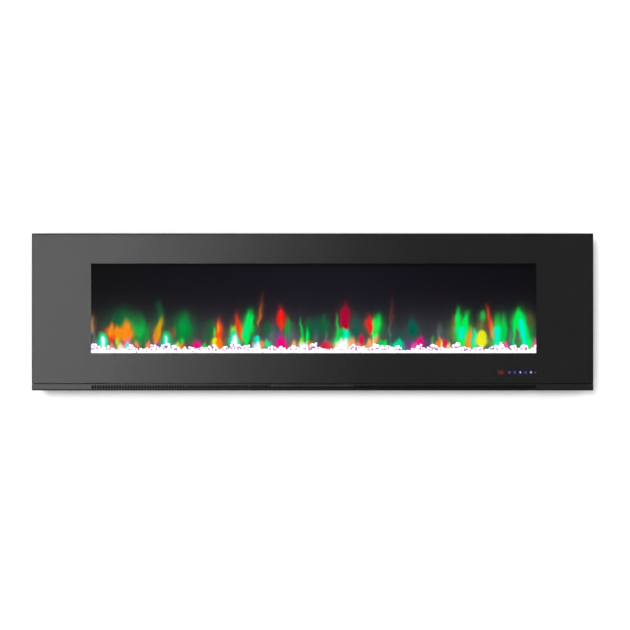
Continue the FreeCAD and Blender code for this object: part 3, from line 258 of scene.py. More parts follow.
MATERIALS = {
    "black_powder_coat": surface("black_powder_coat", grey(0.016), grey(0.021), (0.38, 0.52),
                                 grain=1100, relief=0.5, depth=0.12 * MM),
    "inner_black": surface("inner_black", grey(0.0025), grey(0.0035), (0.70, 0.85), grain=800,
                           Specular_IOR_Level=0.08),
    "zinc_steel": galvanised("zinc_steel", grey(0.48), grey(0.62, 0.02)),
    "front_glass": coated_glass(),
    "glass_print": mirror_print(),
    "outlet_strip": surface("outlet_strip", grey(0.0025), grey(0.0035), (0.05, 0.08), grain=500,
                            relief=0.05, depth=0.02 * MM, Specular_IOR_Level=1.0),
    "clear_acrylic": clear_plastic("clear_acrylic", (0.10, 0.10, 0.11), 0.25),
    "tray_acrylic": clear_plastic("tray_acrylic", (0.90, 0.93, 0.95), 0.02),
    "crystals": lit_crystal(),
    "mirror_vanes": surface("mirror_vanes", grey(0.82), grey(0.92, 0.02), (0.06, 0.22), grain=60,
                            Metallic=1.0, relief=0.6, depth=0.4 * MM),
    "rubber": surface("rubber", grey(0.012), grey(0.020), (0.70, 0.88), relief=0.4),
    "black_plastic": surface("black_plastic", grey(0.014), grey(0.019), (0.40, 0.55), relief=0.35),
    "white_plastic": surface("white_plastic", (0.70, 0.69, 0.66), (0.76, 0.75, 0.72), (0.35, 0.5)),
    "rocker_plastic": surface("rocker_plastic", grey(0.009), grey(0.012), (0.14, 0.24), relief=0.1),
    "circuit_board": surface("circuit_board", (0.010, 0.085, 0.035), (0.016, 0.11, 0.045),
                             (0.28, 0.42), cloud=90),
    "white_board": surface("white_board", grey(0.70), grey(0.78), (0.35, 0.5), cloud=60),
    "light_guides": surface("light_guides", (0.006, 0.007, 0.014), (0.008, 0.009, 0.018),
                            (0.25, 0.4)),
    "motor_steel": surface("motor_steel", grey(0.42), grey(0.50, 0.01), (0.26, 0.42), grain=260,
                           stretch=(0.1, 1, 1), Metallic=1.0),
    # painted shade: the duct is near black so that what shows through the outlet slots reads dark
    "duct_steel": surface("duct_steel", grey(0.004), grey(0.006), (0.6, 0.78), grain=700,
                          Specular_IOR_Level=0.15),
    "impeller_aluminium": surface("impeller_aluminium", grey(0.66), grey(0.74, 0.01), (0.3, 0.45),
                                  grain=300, stretch=(0.08, 1, 1), Metallic=1.0),
    "shaft_steel": surface("shaft_steel", grey(0.56), grey(0.64), (0.14, 0.28), grain=400,
                           stretch=(8, 1, 1), Metallic=1.0),
    "heater_fins": surface("heater_fins", grey(0.58), grey(0.68, 0.01), (0.3, 0.48), Metallic=1.0),
    "heater_ceramic": surface("heater_ceramic", (0.030, 0.026, 0.022), (0.042, 0.037, 0.032),
                              (0.6, 0.8), grain=500, relief=0.5),
    "lead_black": surface("lead_black", grey(0.010), grey(0.014), (0.45, 0.62), grain=400,
                          stretch=(1, 4, 4), relief=0.4),
}


def finish_cad_nodes():
    """Gives each carried-over node the material of its slot in the record."""
    for part in frame["record"]["subparts"]:
        mesh = frame["nodes"][part["node"]].data
        mesh.materials.clear()
        mesh.materials.append(MATERIALS[part["material_slot"]])


# ------------------------------------------------------------------- pieces

def piece(name, mesh, body, slot, *materials):
    """A new object of that mesh, riding on a body. The slot argument is not used."""
    for material in materials:
        mesh.materials.append(material)
    made = bpy.data.objects.new(name, mesh)
    bpy.context.scene.collection.objects.link(made)
    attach(made, body)
    return made


def mesh_of(name, points, faces):
    """A new mesh from points and faces."""
    mesh = bpy.data.meshes.new(name)
    mesh.from_pydata([tuple(point) for point in points], [], [tuple(face) for face in faces])
    mesh.validate()
    mesh.update()
    return mesh


def front_glass():
    """The toughened pane: dark polished edges, and a bevel that is widest along the top."""
    bevel, head_bevel, arris, gap = 1.6 * MM, 4.2 * MM, 1.2 * MM, 0.03 * MM
    low = Vector(GLASS_LOW)
    high = Vector((GLASS_HIGH.x, GLASS_HIGH.y - gap, GLASS_HIGH.z))
    rings = [(low.y, bevel, head_bevel), (low.y + arris, 0.0, 0.0), (high.y - arris, 0.0, 0.0),
             (high.y, arris, arris)]
    points = []
    for depth, inset, head_inset in rings:
        left, right = low.x + inset, high.x - inset
        foot, head = low.z + inset, high.z - head_inset
        points += [(left, depth, foot), (right, depth, foot), (right, depth, head),
                   (left, depth, head)]
    faces = [(0, 1, 2, 3), (15, 14, 13, 12)]
    for ring in range(3):
        for corner in range(4):
            after = (corner + 1) % 4
            faces.append((ring * 4 + corner, ring * 4 + 4 + corner, ring * 4 + 4 + after,
                          ring * 4 + after))
    mesh = mesh_of("front_pane", points, faces)
    edge = surface("glass_edge", (0.002, 0.004, 0.003), (0.003, 0.006, 0.005), (0.12, 0.2),
                   Specular_IOR_Level=0.2)
    pane = piece("front_pane", mesh, "front_panel", "front_glass", MATERIALS["front_glass"], edge)
    for face in mesh.polygons[2:]:
        face.material_index = 1
    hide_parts("front_glass")


# ------------------------------------------------------------------- flames

COLOURS = {
    "white": (255, 255, 255), "cream": (255, 236, 190), "yellow": (238, 242, 30),
    "amber": (240, 165, 20), "orange": (252, 124, 20), "rust": (250, 80, 30),
    "flare": (226, 58, 22), "tangerine": (250, 144, 22), "gold": (206, 160, 18),
    "jade": (0, 216, 118), "red": (250, 28, 18), "crimson": (222, 4, 62), "ruby": (176, 4, 52),
    "scarlet": (236, 34, 34), "peach": (248, 172, 112), "olive": (112, 116, 62),
    "magenta": (236, 0, 132), "pink": (250, 90, 170), "salmon": (255, 140, 105),
    "violet": (112, 44, 150), "brown": (120, 66, 42), "lime": (150, 240, 40),
    "leaf": (0, 236, 84), "green": (0, 205, 80), "moss": (0, 150, 58), "forest": (0, 104, 56),
    "sea": (0, 232, 150), "cyan": (0, 244, 205), "teal": (4, 228, 162), "deep": (0, 92, 78),
    "slate": (92, 110, 112), "dusk": (80, 116, 88),
}

# Soft flames fade out on all sides, and blunt ones have a rounded top.
SOFT = {"moss", "forest", "deep", "slate", "violet", "brown", "olive"}
BLUNT = {"white", "yellow", "cyan", "teal", "jade", "ruby"}

# Each flame: colour, foot (x, z), tip (x, z), width, strength. Millimetres from the window's
# lower left corner. Later flames lie over earlier ones, and the soft ones lie under them all.
FLAMES = [
    ("peach", (2, 60), (4, 132), 14, 0.28), ("slate", (8, 10), (8, 90), 14, 0.7),
    ("jade", (38, -20), (38, 66), 37, 0.95), ("cyan", (38, -20), (38, 54), 29, 1.0),
    ("white", (38, 2), (38, 50), 13, 0.7), ("violet", (6, 0), (8, 34), 22, 0.8),
    ("forest", (100, 60), (104, 170), 104, 0.7), ("moss", (128, 60), (120, 140), 50, 0.5),
    ("orange", (74, 46), (62, 108), 29, 1.0), ("tangerine", (66, 56), (70, 98), 12, 0.8),
    ("red", (70, 34), (70, 68), 20, 0.6), ("tangerine", (90, 30), (86, 106), 18, 0.95),
    ("tangerine", (104, 40), (104, 102), 28, 0.95), ("tangerine", (118, 30), (115, 120), 31, 1.0),
    ("orange", (122, 44), (121, 96), 12, 0.5), ("salmon", (70, -4), (68, 44), 18, 0.8),
    ("pink", (116, 14), (118, 54), 24, 0.85), ("cream", (96, 0), (97, 38), 24, 0.9),
    ("cyan", (117, 10), (117, 36), 15, 0.8), ("lime", (86, 22), (84, 60), 9, 0.6),
    ("moss", (158, 30), (158, 140), 64, 0.95), ("green", (156, 50), (156, 110), 34, 0.35),
    ("salmon", (148, 14), (149, 44), 13, 0.7), ("salmon", (182, 14), (190, 50), 12, 0.8),
    ("violet", (213, 10), (213, 48), 30, 0.9), ("salmon", (210, 20), (212, 52), 14, 0.7),
    ("forest", (216, 70), (226, 190), 24, 0.55), ("moss", (222, 80), (230, 140), 16, 0.45),
    ("gold", (212, 40), (232, 132), 20, 1.0), ("tangerine", (208, 24), (218, 86), 15, 0.9),
    ("jade", (246, -20), (246, 67), 34, 0.95), ("cyan", (246, -20), (246, 57), 23, 1.0),
    ("white", (247, 16), (247, 54), 10, 0.6), ("forest", (298, 36), (300, 156), 84, 0.95),
    ("moss", (300, 50), (303, 140), 50, 0.8), ("lime", (283, 10), (283, 44), 15, 0.9),
    ("orange", (293, 12), (298, 48), 13, 1.0), ("green", (296, 34), (297, 62), 15, 0.8),
    ("cream", (275, 2), (276, 34), 20, 0.7), ("rust", (264, 44), (268, 96), 14, 0.15),
    ("magenta", (343, 6), (351, 50), 32, 0.95), ("green", (371, 8), (371, 42), 16, 0.7),
    ("cream", (372, 0), (372, 26), 22, 0.5), ("forest", (392, 30), (392, 126), 40, 0.85),
    ("green", (403, 48), (398, 92), 8, 0.8), ("rust", (416, 8), (416, 130), 23, 0.92),
    ("tangerine", (412, 60), (413, 112), 9, 0.6), ("yellow", (404, 14), (404, 50), 24, 1.1),
    ("orange", (416, 18), (420, 58), 22, 0.9), ("lime", (466, 50), (466, 104), 22, 0.7),
    ("jade", (467, -10), (467, 78), 32, 0.9), ("cyan", (468, -10), (468, 66), 26, 1.0),
    ("white", (470, 2), (469, 58), 14, 0.95), ("crimson", (486, 60), (468, 148), 14, 0.3),
    ("flare", (492, 38), (471, 138), 21, 1.0), ("red", (488, 60), (476, 116), 12, 0.6),
    ("leaf", (502, 28), (525, 156), 30, 1.15), ("sea", (505, 48), (514, 110), 13, 0.7),
    ("forest", (498, 36), (524, 168), 42, 0.5), ("tangerine", (545, 88), (556, 170), 9, 0.32),
    ("brown", (550, 110), (562, 214), 16, 0.3), ("cyan", (541, 22), (541, 58), 18, 1.0),
    ("white", (540, 0), (541, 34), 34, 0.9), ("orange", (559, 16), (559, 46), 14, 0.95),
    ("sea", (574, 12), (576, 50), 18, 0.6), ("slate", (592, 20), (596, 120), 40, 0.6),
    ("forest", (572, 60), (580, 120), 24, 0.6), ("crimson", (619, 100), (618, 170), 16, 0.35),
    ("red", (618, 142), (621, 58), 21, 1.1), ("flare", (621, 110), (622, 58), 9, 0.9),
    ("violet", (617, 20), (617, 84), 32, 0.6), ("magenta", (618, 0), (619, 76), 32, 1.0),
    ("magenta", (602, -20), (612, 36), 30, 0.9), ("magenta", (636, -20), (632, 32), 28, 0.8),
    ("moss", (642, 50), (640, 132), 26, 0.8), ("slate", (650, 20), (652, 100), 40, 0.6),
    ("peach", (657, 4), (659, 48), 18, 0.85), ("crimson", (640, 4), (640, 28), 26, 0.6),
    ("green", (689, 24), (682, 130), 9, 0.8), ("leaf", (702, 24), (708, 92), 12, 0.95),
    ("forest", (706, 40), (716, 130), 42, 0.75), ("lime", (686, 8), (684, 62), 12, 0.9),
    ("white", (692, 0), (692, 36), 32, 1.0), ("orange", (714, 14), (716, 46), 18, 1.0),
    ("deep", (730, 50), (740, 140), 30, 0.5), ("slate", (735, 20), (735, 90), 20, 0.6),
    ("crimson", (764, 0), (764, 44), 46, 1.0), ("magenta", (748, 4), (750, 30), 18, 0.7),
    ("forest", (762, 56), (762, 138), 38, 0.85), ("slate", (766, 20), (768, 90), 12, 0.7),
    ("green", (806, 44), (799, 138), 9, 0.7), ("leaf", (808, -4), (804, 98), 22, 1.05),
    ("jade", (826, 30), (826, 84), 36, 1.0), ("cyan", (830, 34), (830, 76), 20, 0.7),
    ("crimson", (828, 90), (826, 178), 26, 0.2), ("ruby", (829, 78), (828, 146), 28, 1.05),
    ("green", (812, 50), (814, 80), 16, 0.8), ("cream", (822, 0), (824, 52), 48, 1.0),
    ("white", (820, 0), (821, 44), 38, 1.0), ("peach", (850, 4), (851, 60), 20, 0.95),
    ("deep", (862, 56), (866, 146), 34, 0.8), ("salmon", (873, 0), (876, 48), 22, 0.8),
    ("crimson", (879, 26), (881, 70), 15, 0.7), ("salmon", (866, 12), (868, 36), 12, 0.6),
    ("leaf", (922, 50), (937, 144), 29, 1.1), ("scarlet", (909, 62), (907, 138), 22, 1.1),
    ("forest", (932, 56), (942, 150), 40, 0.5), ("peach", (904, 0), (908, 56), 26, 0.9),
    ("cream", (921, 8), (922, 74), 7, 0.8), ("peach", (929, 30), (930, 70), 14, 0.8),
    ("green", (943, 10), (945, 54), 24, 1.0), ("leaf", (958, 14), (959, 58), 9, 0.9),
    ("sea", (950, 6), (950, 36), 30, 0.8), ("brown", (976, 80), (984, 200), 12, 0.4),
    ("slate", (972, 30), (973, 130), 10, 0.6), ("teal", (1000, -20), (1000, 45), 40, 1.1),
    ("deep", (1000, 20), (1000, 90), 70, 0.5), ("deep", (1048, 50), (1050, 134), 40, 0.95),
    ("violet", (1034, 4), (1036, 60), 36, 0.6), ("magenta", (1060, 4), (1082, 66), 22, 1.0),
    ("pink", (1054, -10), (1060, 44), 26, 0.8), ("violet", (1094, 4), (1096, 56), 26, 0.6),
    ("orange", (1124, 8), (1128, 48), 22, 0.9), ("amber", (1136, 22), (1138, 62), 8, 0.8),
    ("green", (1114, 22), (1113, 66), 11, 0.4), ("crimson", (1148, 10), (1155, 52), 20, 1.0),
    ("cream", (1140, 4), (1141, 46), 8, 0.7), ("cream", (1166, 0), (1167, 40), 18, 0.6),
    ("slate", (1136, 40), (1137, 110), 24, 0.5), ("ruby", (1184, 30), (1188, 128), 12, 0.14),
    ("brown", (1176, 40), (1184, 150), 22, 0.4), ("leaf", (1206, 30), (1193, 162), 25, 1.05),
    ("leaf", (1208, 30), (1229, 152), 25, 1.0), ("leaf", (1207, 20), (1207, 122), 40, 1.1),
    ("cyan", (1206, 46), (1206, 90), 19, 0.75), ("tangerine", (1226, 2), (1238, 96), 16, 1.05),
    ("sea", (1249, 12), (1248, 92), 18, 1.2), ("moss", (1246, 20), (1246, 90), 26, 0.5),
    ("yellow", (1273, 26), (1272, 72), 28, 1.6), ("cream", (1272, 12), (1272, 34), 18, 0.5),
    ("green", (1275, 104), (1275, 148), 16, 0.45), ("olive", (1266, 40), (1270, 140), 30, 0.8),
    ("salmon", (1310, 40), (1303, 124), 13, 0.45), ("rust", (1308, 66), (1288, 174), 14, 0.5),
    ("brown", (1296, 60), (1292, 150), 22, 0.7), ("leaf", (1323, -10), (1328, 150), 30, 1.1),
    ("cyan", (1321, -20), (1323, 92), 18, 0.8), ("green", (1344, 24), (1346, 144), 21, 0.8),
    ("pink", (1346, 4), (1356, 42), 24, 0.9), ("leaf", (1380, 20), (1386, 150), 15, 0.8),
    ("leaf", (1392, 70), (1396, 160), 30, 1.1), ("leaf", (1424, -10), (1398, 152), 33, 1.15),
    ("cyan", (1420, -10), (1402, 112), 18, 0.8), ("sea", (1379, 4), (1380, 60), 12, 0.7),
    ("forest", (1400, 10), (1400, 170), 90, 0.6), ("dusk", (1387, 22), (1390, 98), 17, 0.9),
    ("brown", (1432, 80), (1424, 150), 24, 0.3), ("pink", (1446, 0), (1447, 60), 16, 0.8),
    ("slate", (1368, 20), (1368, 100), 12, 0.6),
]


# The faint glow round each flame: its strength, its width against the flame's, and how far it
# reaches below the foot and above the tip, in millimetres.
GLOW_STRENGTH = 0.06
GLOW_WIDTH = 2.4
GLOW_BELOW = 6
GLOW_ABOVE = 18

# How strongly a flame covers what is behind it. Above 1, its middle is solid.
FLAME_DENSITY = 1.35


def streaks(across, up, seed, pitch, lean):
    """Soft upright streaks between 0 and 1: waves along X that drift a little with height."""
    chooser = random.Random(seed)
    total = np.zeros_like(across)
    weight = 0.0
    for octave in range(7):
        length = pitch * 0.66 ** octave * chooser.uniform(0.8, 1.2)
        phase = chooser.uniform(0, 2 * math.pi)
        slope = lean * chooser.uniform(-1, 1)
        share = 0.8 ** octave
        total += share * np.sin(2 * math.pi * (across + slope * up) / length + phase)
        weight += share
    return 0.5 + 0.5 * total / weight


def drift(across, up, width, height, seed):
    """Smooth noise between -1 and 1, whose blotches are about width by height."""
    columns, rows = (across - across.min()) / width, (up - up.min()) / height
    size = (int(rows.max()) + 2, int(columns.max()) + 2)
    grid = np.random.RandomState(seed).uniform(-1, 1, size)
    column, row = columns.astype(int), rows.astype(int)
    right, above = smooth(columns - column, 0, 1), smooth(rows - row, 0, 1)
    low = grid[row, column] * (1 - right) + grid[row, column + 1] * right
    high = grid[row + 1, column] * (1 - right) + grid[row + 1, column + 1] * right
    return low * (1 - above) + high * above


def smooth(value, low, high):
    """0 below low, 1 above high, and a smooth rise between."""
    share = np.clip((value - low) / (high - low), 0, 1)
    return share * share * (3 - 2 * share)


def flame_shape(across, up, foot, tip, width, soft, blunt=False):
    """How strongly one flame lights each point: a leaf from foot to tip.

    A leaf whose foot is clear of the crystals narrows there too.
    """
    lean = np.array(tip, dtype=float) - np.array(foot, dtype=float)
    length = math.hypot(*lean)
    along = ((across - foot[0]) * lean[0] + (up - foot[1]) * lean[1]) / length
    aside = np.abs((across - foot[0]) * lean[1] - (up - foot[1]) * lean[0]) / length
    share = along / length
    if blunt:
        body = 1 / (1 + (aside / (width * 0.38)) ** 4)
        rim = width * 0.30 / length
        rounded = share + 0.22 * (aside / (0.5 * width)) ** 2 * width / length
        return body * smooth(share, -rim, rim) * (1 - smooth(rounded, 1 - 1.6 * rim, 1 + 0.8 * rim))
    waist = width / 2 * (0.86 - 0.50 * smooth(share, 0.30, 1.05))
    pinch = 0.5 if foot[1] > 15 else 1.0
    if soft:
        return np.exp(-(aside / waist) ** 2) * smooth(share, -0.30, 0.35) * (
            1 - smooth(share, 0.30, 1.02))
    waist = waist * (pinch + (1 - pinch) * smooth(share, -0.05, 0.36))
    body = 1 / (1 + (aside / waist) ** 4)
    rim = min(0.5, 8 / length)
    return body * smooth(share, -rim, rim * 1.5) * (1 - smooth(share, 0.46, 0.97))


def flame_colours(across, up):
    """The light on the screen at each point, as linear colours."""
    # the bare screen's light, brightest in the middle, with a glowing haze of painted light over
    # its lower part, and dimmer over its top 18 mm
    middle = np.exp(-((across - 760) / 520) ** 2)
    low_part = np.exp(-(np.maximum(up - 30, 0) / 82) ** 1.6)
    veil = 0.55 + 0.45 * streaks(across, up, 3, 260, 0.1)
    fine = streaks(across, up, 5, 42, 0.12)
    edge = smooth(WINDOW_HEIGHT - up, 0, 18)
    base = np.stack([0.0034 + 0.0048 * middle, 0.0034 + 0.0034 * middle,
                     0.0040 + 0.0082 * middle], axis=-1) * (0.45 + 0.55 * edge)[..., None]
    haze = np.stack([0.048 + 0.020 * fine, 0.050 + 0.012 * fine, 0.054 + 0.022 * fine], axis=-1)
    light = base + haze * (low_part * veil)[..., None]
    # how the light varies within the flames, and how their outlines waver
    brush = 1 + 0.30 * drift(across, up, 6, 70, 11) + 0.18 * drift(across, up, 11, 38, 12)
    shade = np.minimum(1.06 + 0.24 * drift(across, up, 6, 44, 17), 1.0)[..., None]
    bent = across + 3.2 * drift(across, up, 24, 20, 13) + 1.3 * drift(across, up, 8, 14, 14)
    raised = up + 5 * drift(across, up, 9, 60, 15) + 3 * drift(across, up, 17, 24, 16)
    for colour, foot, tip, width, strength in FLAMES:
        foot, tip = (foot[0], foot[1] - GLOW_BELOW), (tip[0], tip[1] + GLOW_ABOVE)
        glow = flame_shape(bent, raised, foot, tip, width * GLOW_WIDTH, True)
        glow = GLOW_STRENGTH * brush * glow
        light = light + np.array(to_linear(COLOURS[colour])) * glow[..., None]
    soft_first = sorted(FLAMES, key=lambda flame: flame[0] not in SOFT)
    for colour, foot, tip, width, strength in soft_first:
        shape = flame_shape(bent, raised, foot, tip, width, colour in SOFT, colour in BLUNT)
        cover = np.clip(FLAME_DENSITY * strength * brush * shape, 0, 1)[..., None]
        light = light * (1 - cover) + np.array(to_linear(COLOURS[colour])) * cover * shade
    return np.clip(light, 0, 1)


# How large the screen looks against the window, because it stands a little behind it.
SET_BACK = 0.991


def flame_screen():
    """The picture of the flames that the rods cast on the screen.

    It is made 1 / SET_BACK too large, because it stands a little behind the window.
    """
    pitch = 2.0 * MM
    left, right = SCREEN_LOW.x + 2 * MM, SCREEN_HIGH.x - 2 * MM
    foot, head = BED_LOW.z, SCREEN_HIGH.z - 2 * MM
    columns = int((right - left) / pitch)
    rows = int((head - foot) / pitch)
    xs = np.linspace(left, right, columns + 1)
    zs = np.linspace(foot, head, rows + 1)
    across, up = np.meshgrid(xs, zs)
    depth = np.full_like(across, SCREEN_LOW.y - 0.3 * MM)
    back = SCREEN_LOW.y - 0.1 * MM
    points = np.vstack([np.stack([across, depth, up], axis=-1).reshape(-1, 3),
                        [(left, back, foot), (right, back, foot),
                         (right, back, head), (left, back, head)]])
    index = np.arange((rows + 1) * (columns + 1)).reshape(rows + 1, columns + 1)
    faces = [(index[row, column], index[row, column + 1],
              index[row + 1, column + 1], index[row + 1, column])
             for row in range(rows) for column in range(columns)]
    corner = index.size
    faces += [(corner, corner + 3, corner + 2, corner + 1),
              (*index[0, ::-1], corner, corner + 1), (*index[::-1, -1], corner + 1, corner + 2),
              (*index[-1], corner + 2, corner + 3), (*index[:, 0], corner + 3, corner)]
    faces = [[int(value) for value in face] for face in faces]
    mesh = mesh_of("flame_picture", points, faces)
    middle = Vector(((GLASS_LOW.x + GLASS_HIGH.x) / 2, 0, (GLASS_LOW.z + GLASS_HIGH.z) / 2))
    seen_across = middle.x + (across - middle.x) * SET_BACK
    seen_up = middle.z + (up - middle.z) * SET_BACK
    colours = flame_colours((seen_across - WINDOW_LEFT) / MM, (seen_up - WINDOW_FOOT) / MM)
    rgba = np.concatenate([colours, np.ones(colours.shape[:2] + (1,))], axis=-1).reshape(-1, 4)
    rgba = np.vstack([rgba, np.tile((0.0, 0.0, 0.0, 1.0), (4, 1))])
    glow = mesh.color_attributes.new("glow", "FLOAT_COLOR", "POINT")
    glow.data.foreach_set("color", rgba.reshape(-1).astype(np.float32))
    piece("flame_picture", mesh, "cabinet", "clear_acrylic", painted_light("flame_light", "glow"))


# ----------------------------------------------------------------- crystals

GOLDEN_ANGLE = 2.399963


def crystal_shape(seed):
    """The points and faces of one crystal about 1 across: the hull of a few scattered points."""
    chooser = random.Random(seed)
    shape = bmesh.new()
    for index in range(chooser.choice((8, 9, 10, 12))):
        height = 1 - 2 * (index + 0.5) / 10
        ring = math.sqrt(max(0.05, 1 - min(1, height * height)))
        turn = index * GOLDEN_ANGLE + chooser.uniform(-0.5, 0.5)
        reach = 0.5 * chooser.uniform(0.82, 1.08)
        shape.verts.new((ring * math.cos(turn) * reach, ring * math.sin(turn) * reach,
                         height * reach))
    hull = bmesh.ops.convex_hull(shape, input=shape.verts)
    spare = [item for item in hull["geom_interior"] if isinstance(item, bmesh.types.BMVert)]
    bmesh.ops.delete(shape, geom=spare, context="VERTS")
    bmesh.ops.dissolve_limit(shape, angle_limit=math.radians(14), verts=shape.verts,
                             edges=shape.edges)
    shape.verts.ensure_lookup_table()
    shape.verts.index_update()
    points = np.array([vertex.co[:] for vertex in shape.verts])
    faces = [[vertex.index for vertex in face.verts] for face in shape.faces]
    shape.free()
    return points, faces


def heap_height(across, waves):
    """How high the heap's surface lies above the window's foot at a place along X, metres."""
    wave = sum(share * math.sin(2 * math.pi * across / length + phase)
               for share, length, phase in waves)
    return max(3, 10 + 10.5 * wave) * MM


def ember_crystals():
    """Loose crystals heaped in the tray, with a lit core under them."""
    chooser = random.Random(41)
    shapes = [crystal_shape(seed) for seed in range(14)]
    waves = [(share, length * MM, chooser.uniform(0, 2 * math.pi))
             for share, length in ((0.45, 233), (0.45, 121), (0.45, 67), (0.40, 38))]
    tints = [(1.0, 1.0, 1.0)] * 12 + [(1.0, 0.80, 1.0), (0.80, 0.95, 1.0), (1.0, 0.88, 0.94)]
    points, faces, colours = [], [], []
    count = 0
    rows, levels = 4, 4
    inset, pitch, drop = 6 * MM, 9.6 * MM, 9
    smallest, largest = 8.5, 14.5
    stray_x, stray_y, stray_z = 3.4, 1.8, 5.6
    front, back = BED_LOW.y + inset, BED_HIGH.y - inset
    columns = int((BED_HIGH.x - BED_LOW.x - 2 * inset) / pitch)
    for column in range(columns + 1):
        for row in range(rows):
            depth = front + (back - front) * row / (rows - 1)
            crown = 3 * MM * math.sin(math.pi * (row + 0.4) / 3.4)
            for level in range(levels):
                size = chooser.uniform(smallest, largest) * MM
                place = Vector((
                    BED_LOW.x + inset + column * pitch + chooser.uniform(-stray_x, stray_x) * MM,
                    depth + chooser.uniform(-stray_y, stray_y) * MM, 0))
                top = WINDOW_FOOT + heap_height(place.x, waves) + crown
                place.z = top - level * drop * MM + chooser.uniform(-stray_z, stray_z) * MM
                turn = Euler([chooser.uniform(0, 2 * math.pi) for _ in range(3)]).to_matrix()
                shape, shape_faces = shapes[chooser.randrange(len(shapes))]
                stretch = np.array([chooser.uniform(0.8, 1.25) for _ in range(3)])
                moved = (shape * stretch * size) @ np.array(turn).T + np.array(place)
                tint = chooser.choice(tints)
                points.append(moved)
                for face in shape_faces:
                    faces.append([index + count for index in face])
                    shine = chooser.choice((0.86, 0.95, 1.05, 1.2, 1.35))
                    colours += [(*(shine * channel for channel in tint), 1.0)] * len(face)
                count += len(moved)
    every = np.concatenate(points)
    every[:, 0] = np.clip(every[:, 0], BED_LOW.x, BED_HIGH.x)
    every[:, 1] = np.clip(every[:, 1], BED_LOW.y - 0.5 * MM, BED_HIGH.y + 0.5 * MM)
    mesh = bpy.data.meshes.new("crystal_bed")
    mesh.from_pydata(every.tolist(), [], faces)
    mesh.update()
    tint = mesh.color_attributes.new("tint", "FLOAT_COLOR", "CORNER")
    tint.data.foreach_set("color", np.array(colours, dtype=np.float32).reshape(-1))
    bed = piece("crystal_bed", mesh, "cabinet", "crystals", MATERIALS["crystals"])
    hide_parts("ember_crystals")
    bed_core(waves)


def bed_core(waves):
    """The lit mass under the loose crystals, uneven along its top."""
    columns = 180
    inset = 5 * MM
    front, back = BED_LOW.y + inset, BED_HIGH.y - inset
    points, faces = [], []
    for column in range(columns + 1):
        across = BED_LOW.x + inset + (BED_HIGH.x - BED_LOW.x - 2 * inset) * column / columns
        top = WINDOW_FOOT + heap_height(across, waves) - 5 * MM
        for depth, level in ((front, BED_LOW.z + MM), (front, top - 3 * MM),
                             ((front + back) / 2, top), (back, top - 3 * MM),
                             (back, BED_LOW.z + MM)):
            points.append((across, depth, level))
        if column:
            start = 5 * (column - 1)
            for side in range(5):
                after = (side + 1) % 5
                faces.append((start + side, start + 5 + side, start + 5 + after, start + after))
    last = 5 * columns
    faces += [(0, 1, 2, 3, 4), (last + 4, last + 3, last + 2, last + 1, last)]
    mesh = mesh_of("crystal_core", points, faces)
    tint = mesh.color_attributes.new("tint", "FLOAT_COLOR", "CORNER")
    pale = np.tile(np.array([1.0, 0.86, 1.0, 1.0], dtype=np.float32), len(mesh.loops))
    tint.data.foreach_set("color", pale)
    piece("crystal_core", mesh, "cabinet", "crystals", MATERIALS["crystals"])


# --------------------------------------------------------------- touch keys

def lamp(name, colour, strength):
    """A lit moulding, slightly uneven."""
    material, nodes, links, shader = new_material(name)
    tone = to_linear(colour)
    deep = tuple(channel * 0.8 for channel in tone)
    two_tone(nodes, links, noise(nodes, links, 900), deep, tone, shader.inputs["Emission Color"])
    set_inputs(shader, Emission_Strength=strength, Base_Color=(*tone, 1), Roughness=0.4)
    return material


# Places on the panel, in millimetres: the signs' level, the first key and the keys' pitch, and
# the middles of the display and of its two digits.
KEY_LEVEL = (GUIDE_LOW.z + GUIDE_HIGH.z) / 2 / MM
KEY_FIRST = 642.0
KEY_PITCH = 17.5
DISPLAY_AT = 616.0
DIGITS_AT = 613.5


def plate(shape, outline, front_gap=0.30, back_gap=0.05):
    """Adds one plate with that outline of (x, z), its faces that far before the guides."""
    front = [shape.verts.new((x * MM, GUIDE_LOW.y - front_gap * MM, z * MM)) for x, z in outline]
    back = [shape.verts.new((x * MM, GUIDE_LOW.y - back_gap * MM, z * MM)) for x, z in outline]
    shape.faces.new(front)
    shape.faces.new(back[::-1])
    for index in range(len(outline)):
        after = (index + 1) % len(outline)
        shape.faces.new((front[after], front[index], back[index], back[after]))


def bar(shape, start, end, thickness):
    """A straight stroke from start to end."""
    along = Vector(end) - Vector(start)
    aside = Vector((-along.y, along.x)).normalized() * thickness / 2
    start, end = Vector(start), Vector(end)
    plate(shape, [start - aside, end - aside, end + aside, start + aside])


def arc(shape, centre, radius, first, last, thickness, steps=20):
    """A curved stroke round centre, between two angles in degrees."""
    spots = []
    for step in range(steps + 1):
        angle = math.radians(first + (last - first) * step / steps)
        spots.append((math.cos(angle), math.sin(angle)))
    inner, outer = radius - thickness / 2, radius + thickness / 2
    for (x0, z0), (x1, z1) in zip(spots, spots[1:]):
        plate(shape, [(centre[0] + inner * x0, centre[1] + inner * z0),
                      (centre[0] + outer * x0, centre[1] + outer * z0),
                      (centre[0] + outer * x1, centre[1] + outer * z1),
                      (centre[0] + inner * x1, centre[1] + inner * z1)])


def power_sign(shape, x, z):
    """A ring open at the top, with a stroke through the gap."""
    arc(shape, (x, z), 2.2, 125, 415, 0.8)
    bar(shape, (x, z + 0.5), (x, z + 3.1), 0.8)


def flame_sign(shape, x, z):
    """A drop that comes to a point."""
    arc(shape, (x, z - 0.8), 1.9, 150, 390, 0.8)
    bar(shape, (x - 1.7, z + 0.2), (x + 0.2, z + 3.0), 0.8)
    bar(shape, (x + 1.7, z + 0.2), (x + 0.2, z + 3.0), 0.8)


def lamp_sign(shape, x, z):
    """A bulb over the two strokes of its base."""
    arc(shape, (x, z + 0.6), 2.1, -50, 230, 0.9)
    bar(shape, (x - 1.3, z - 1.7), (x + 1.3, z - 1.7), 0.8)
    bar(shape, (x - 0.9, z - 2.9), (x + 0.9, z - 2.9), 0.8)


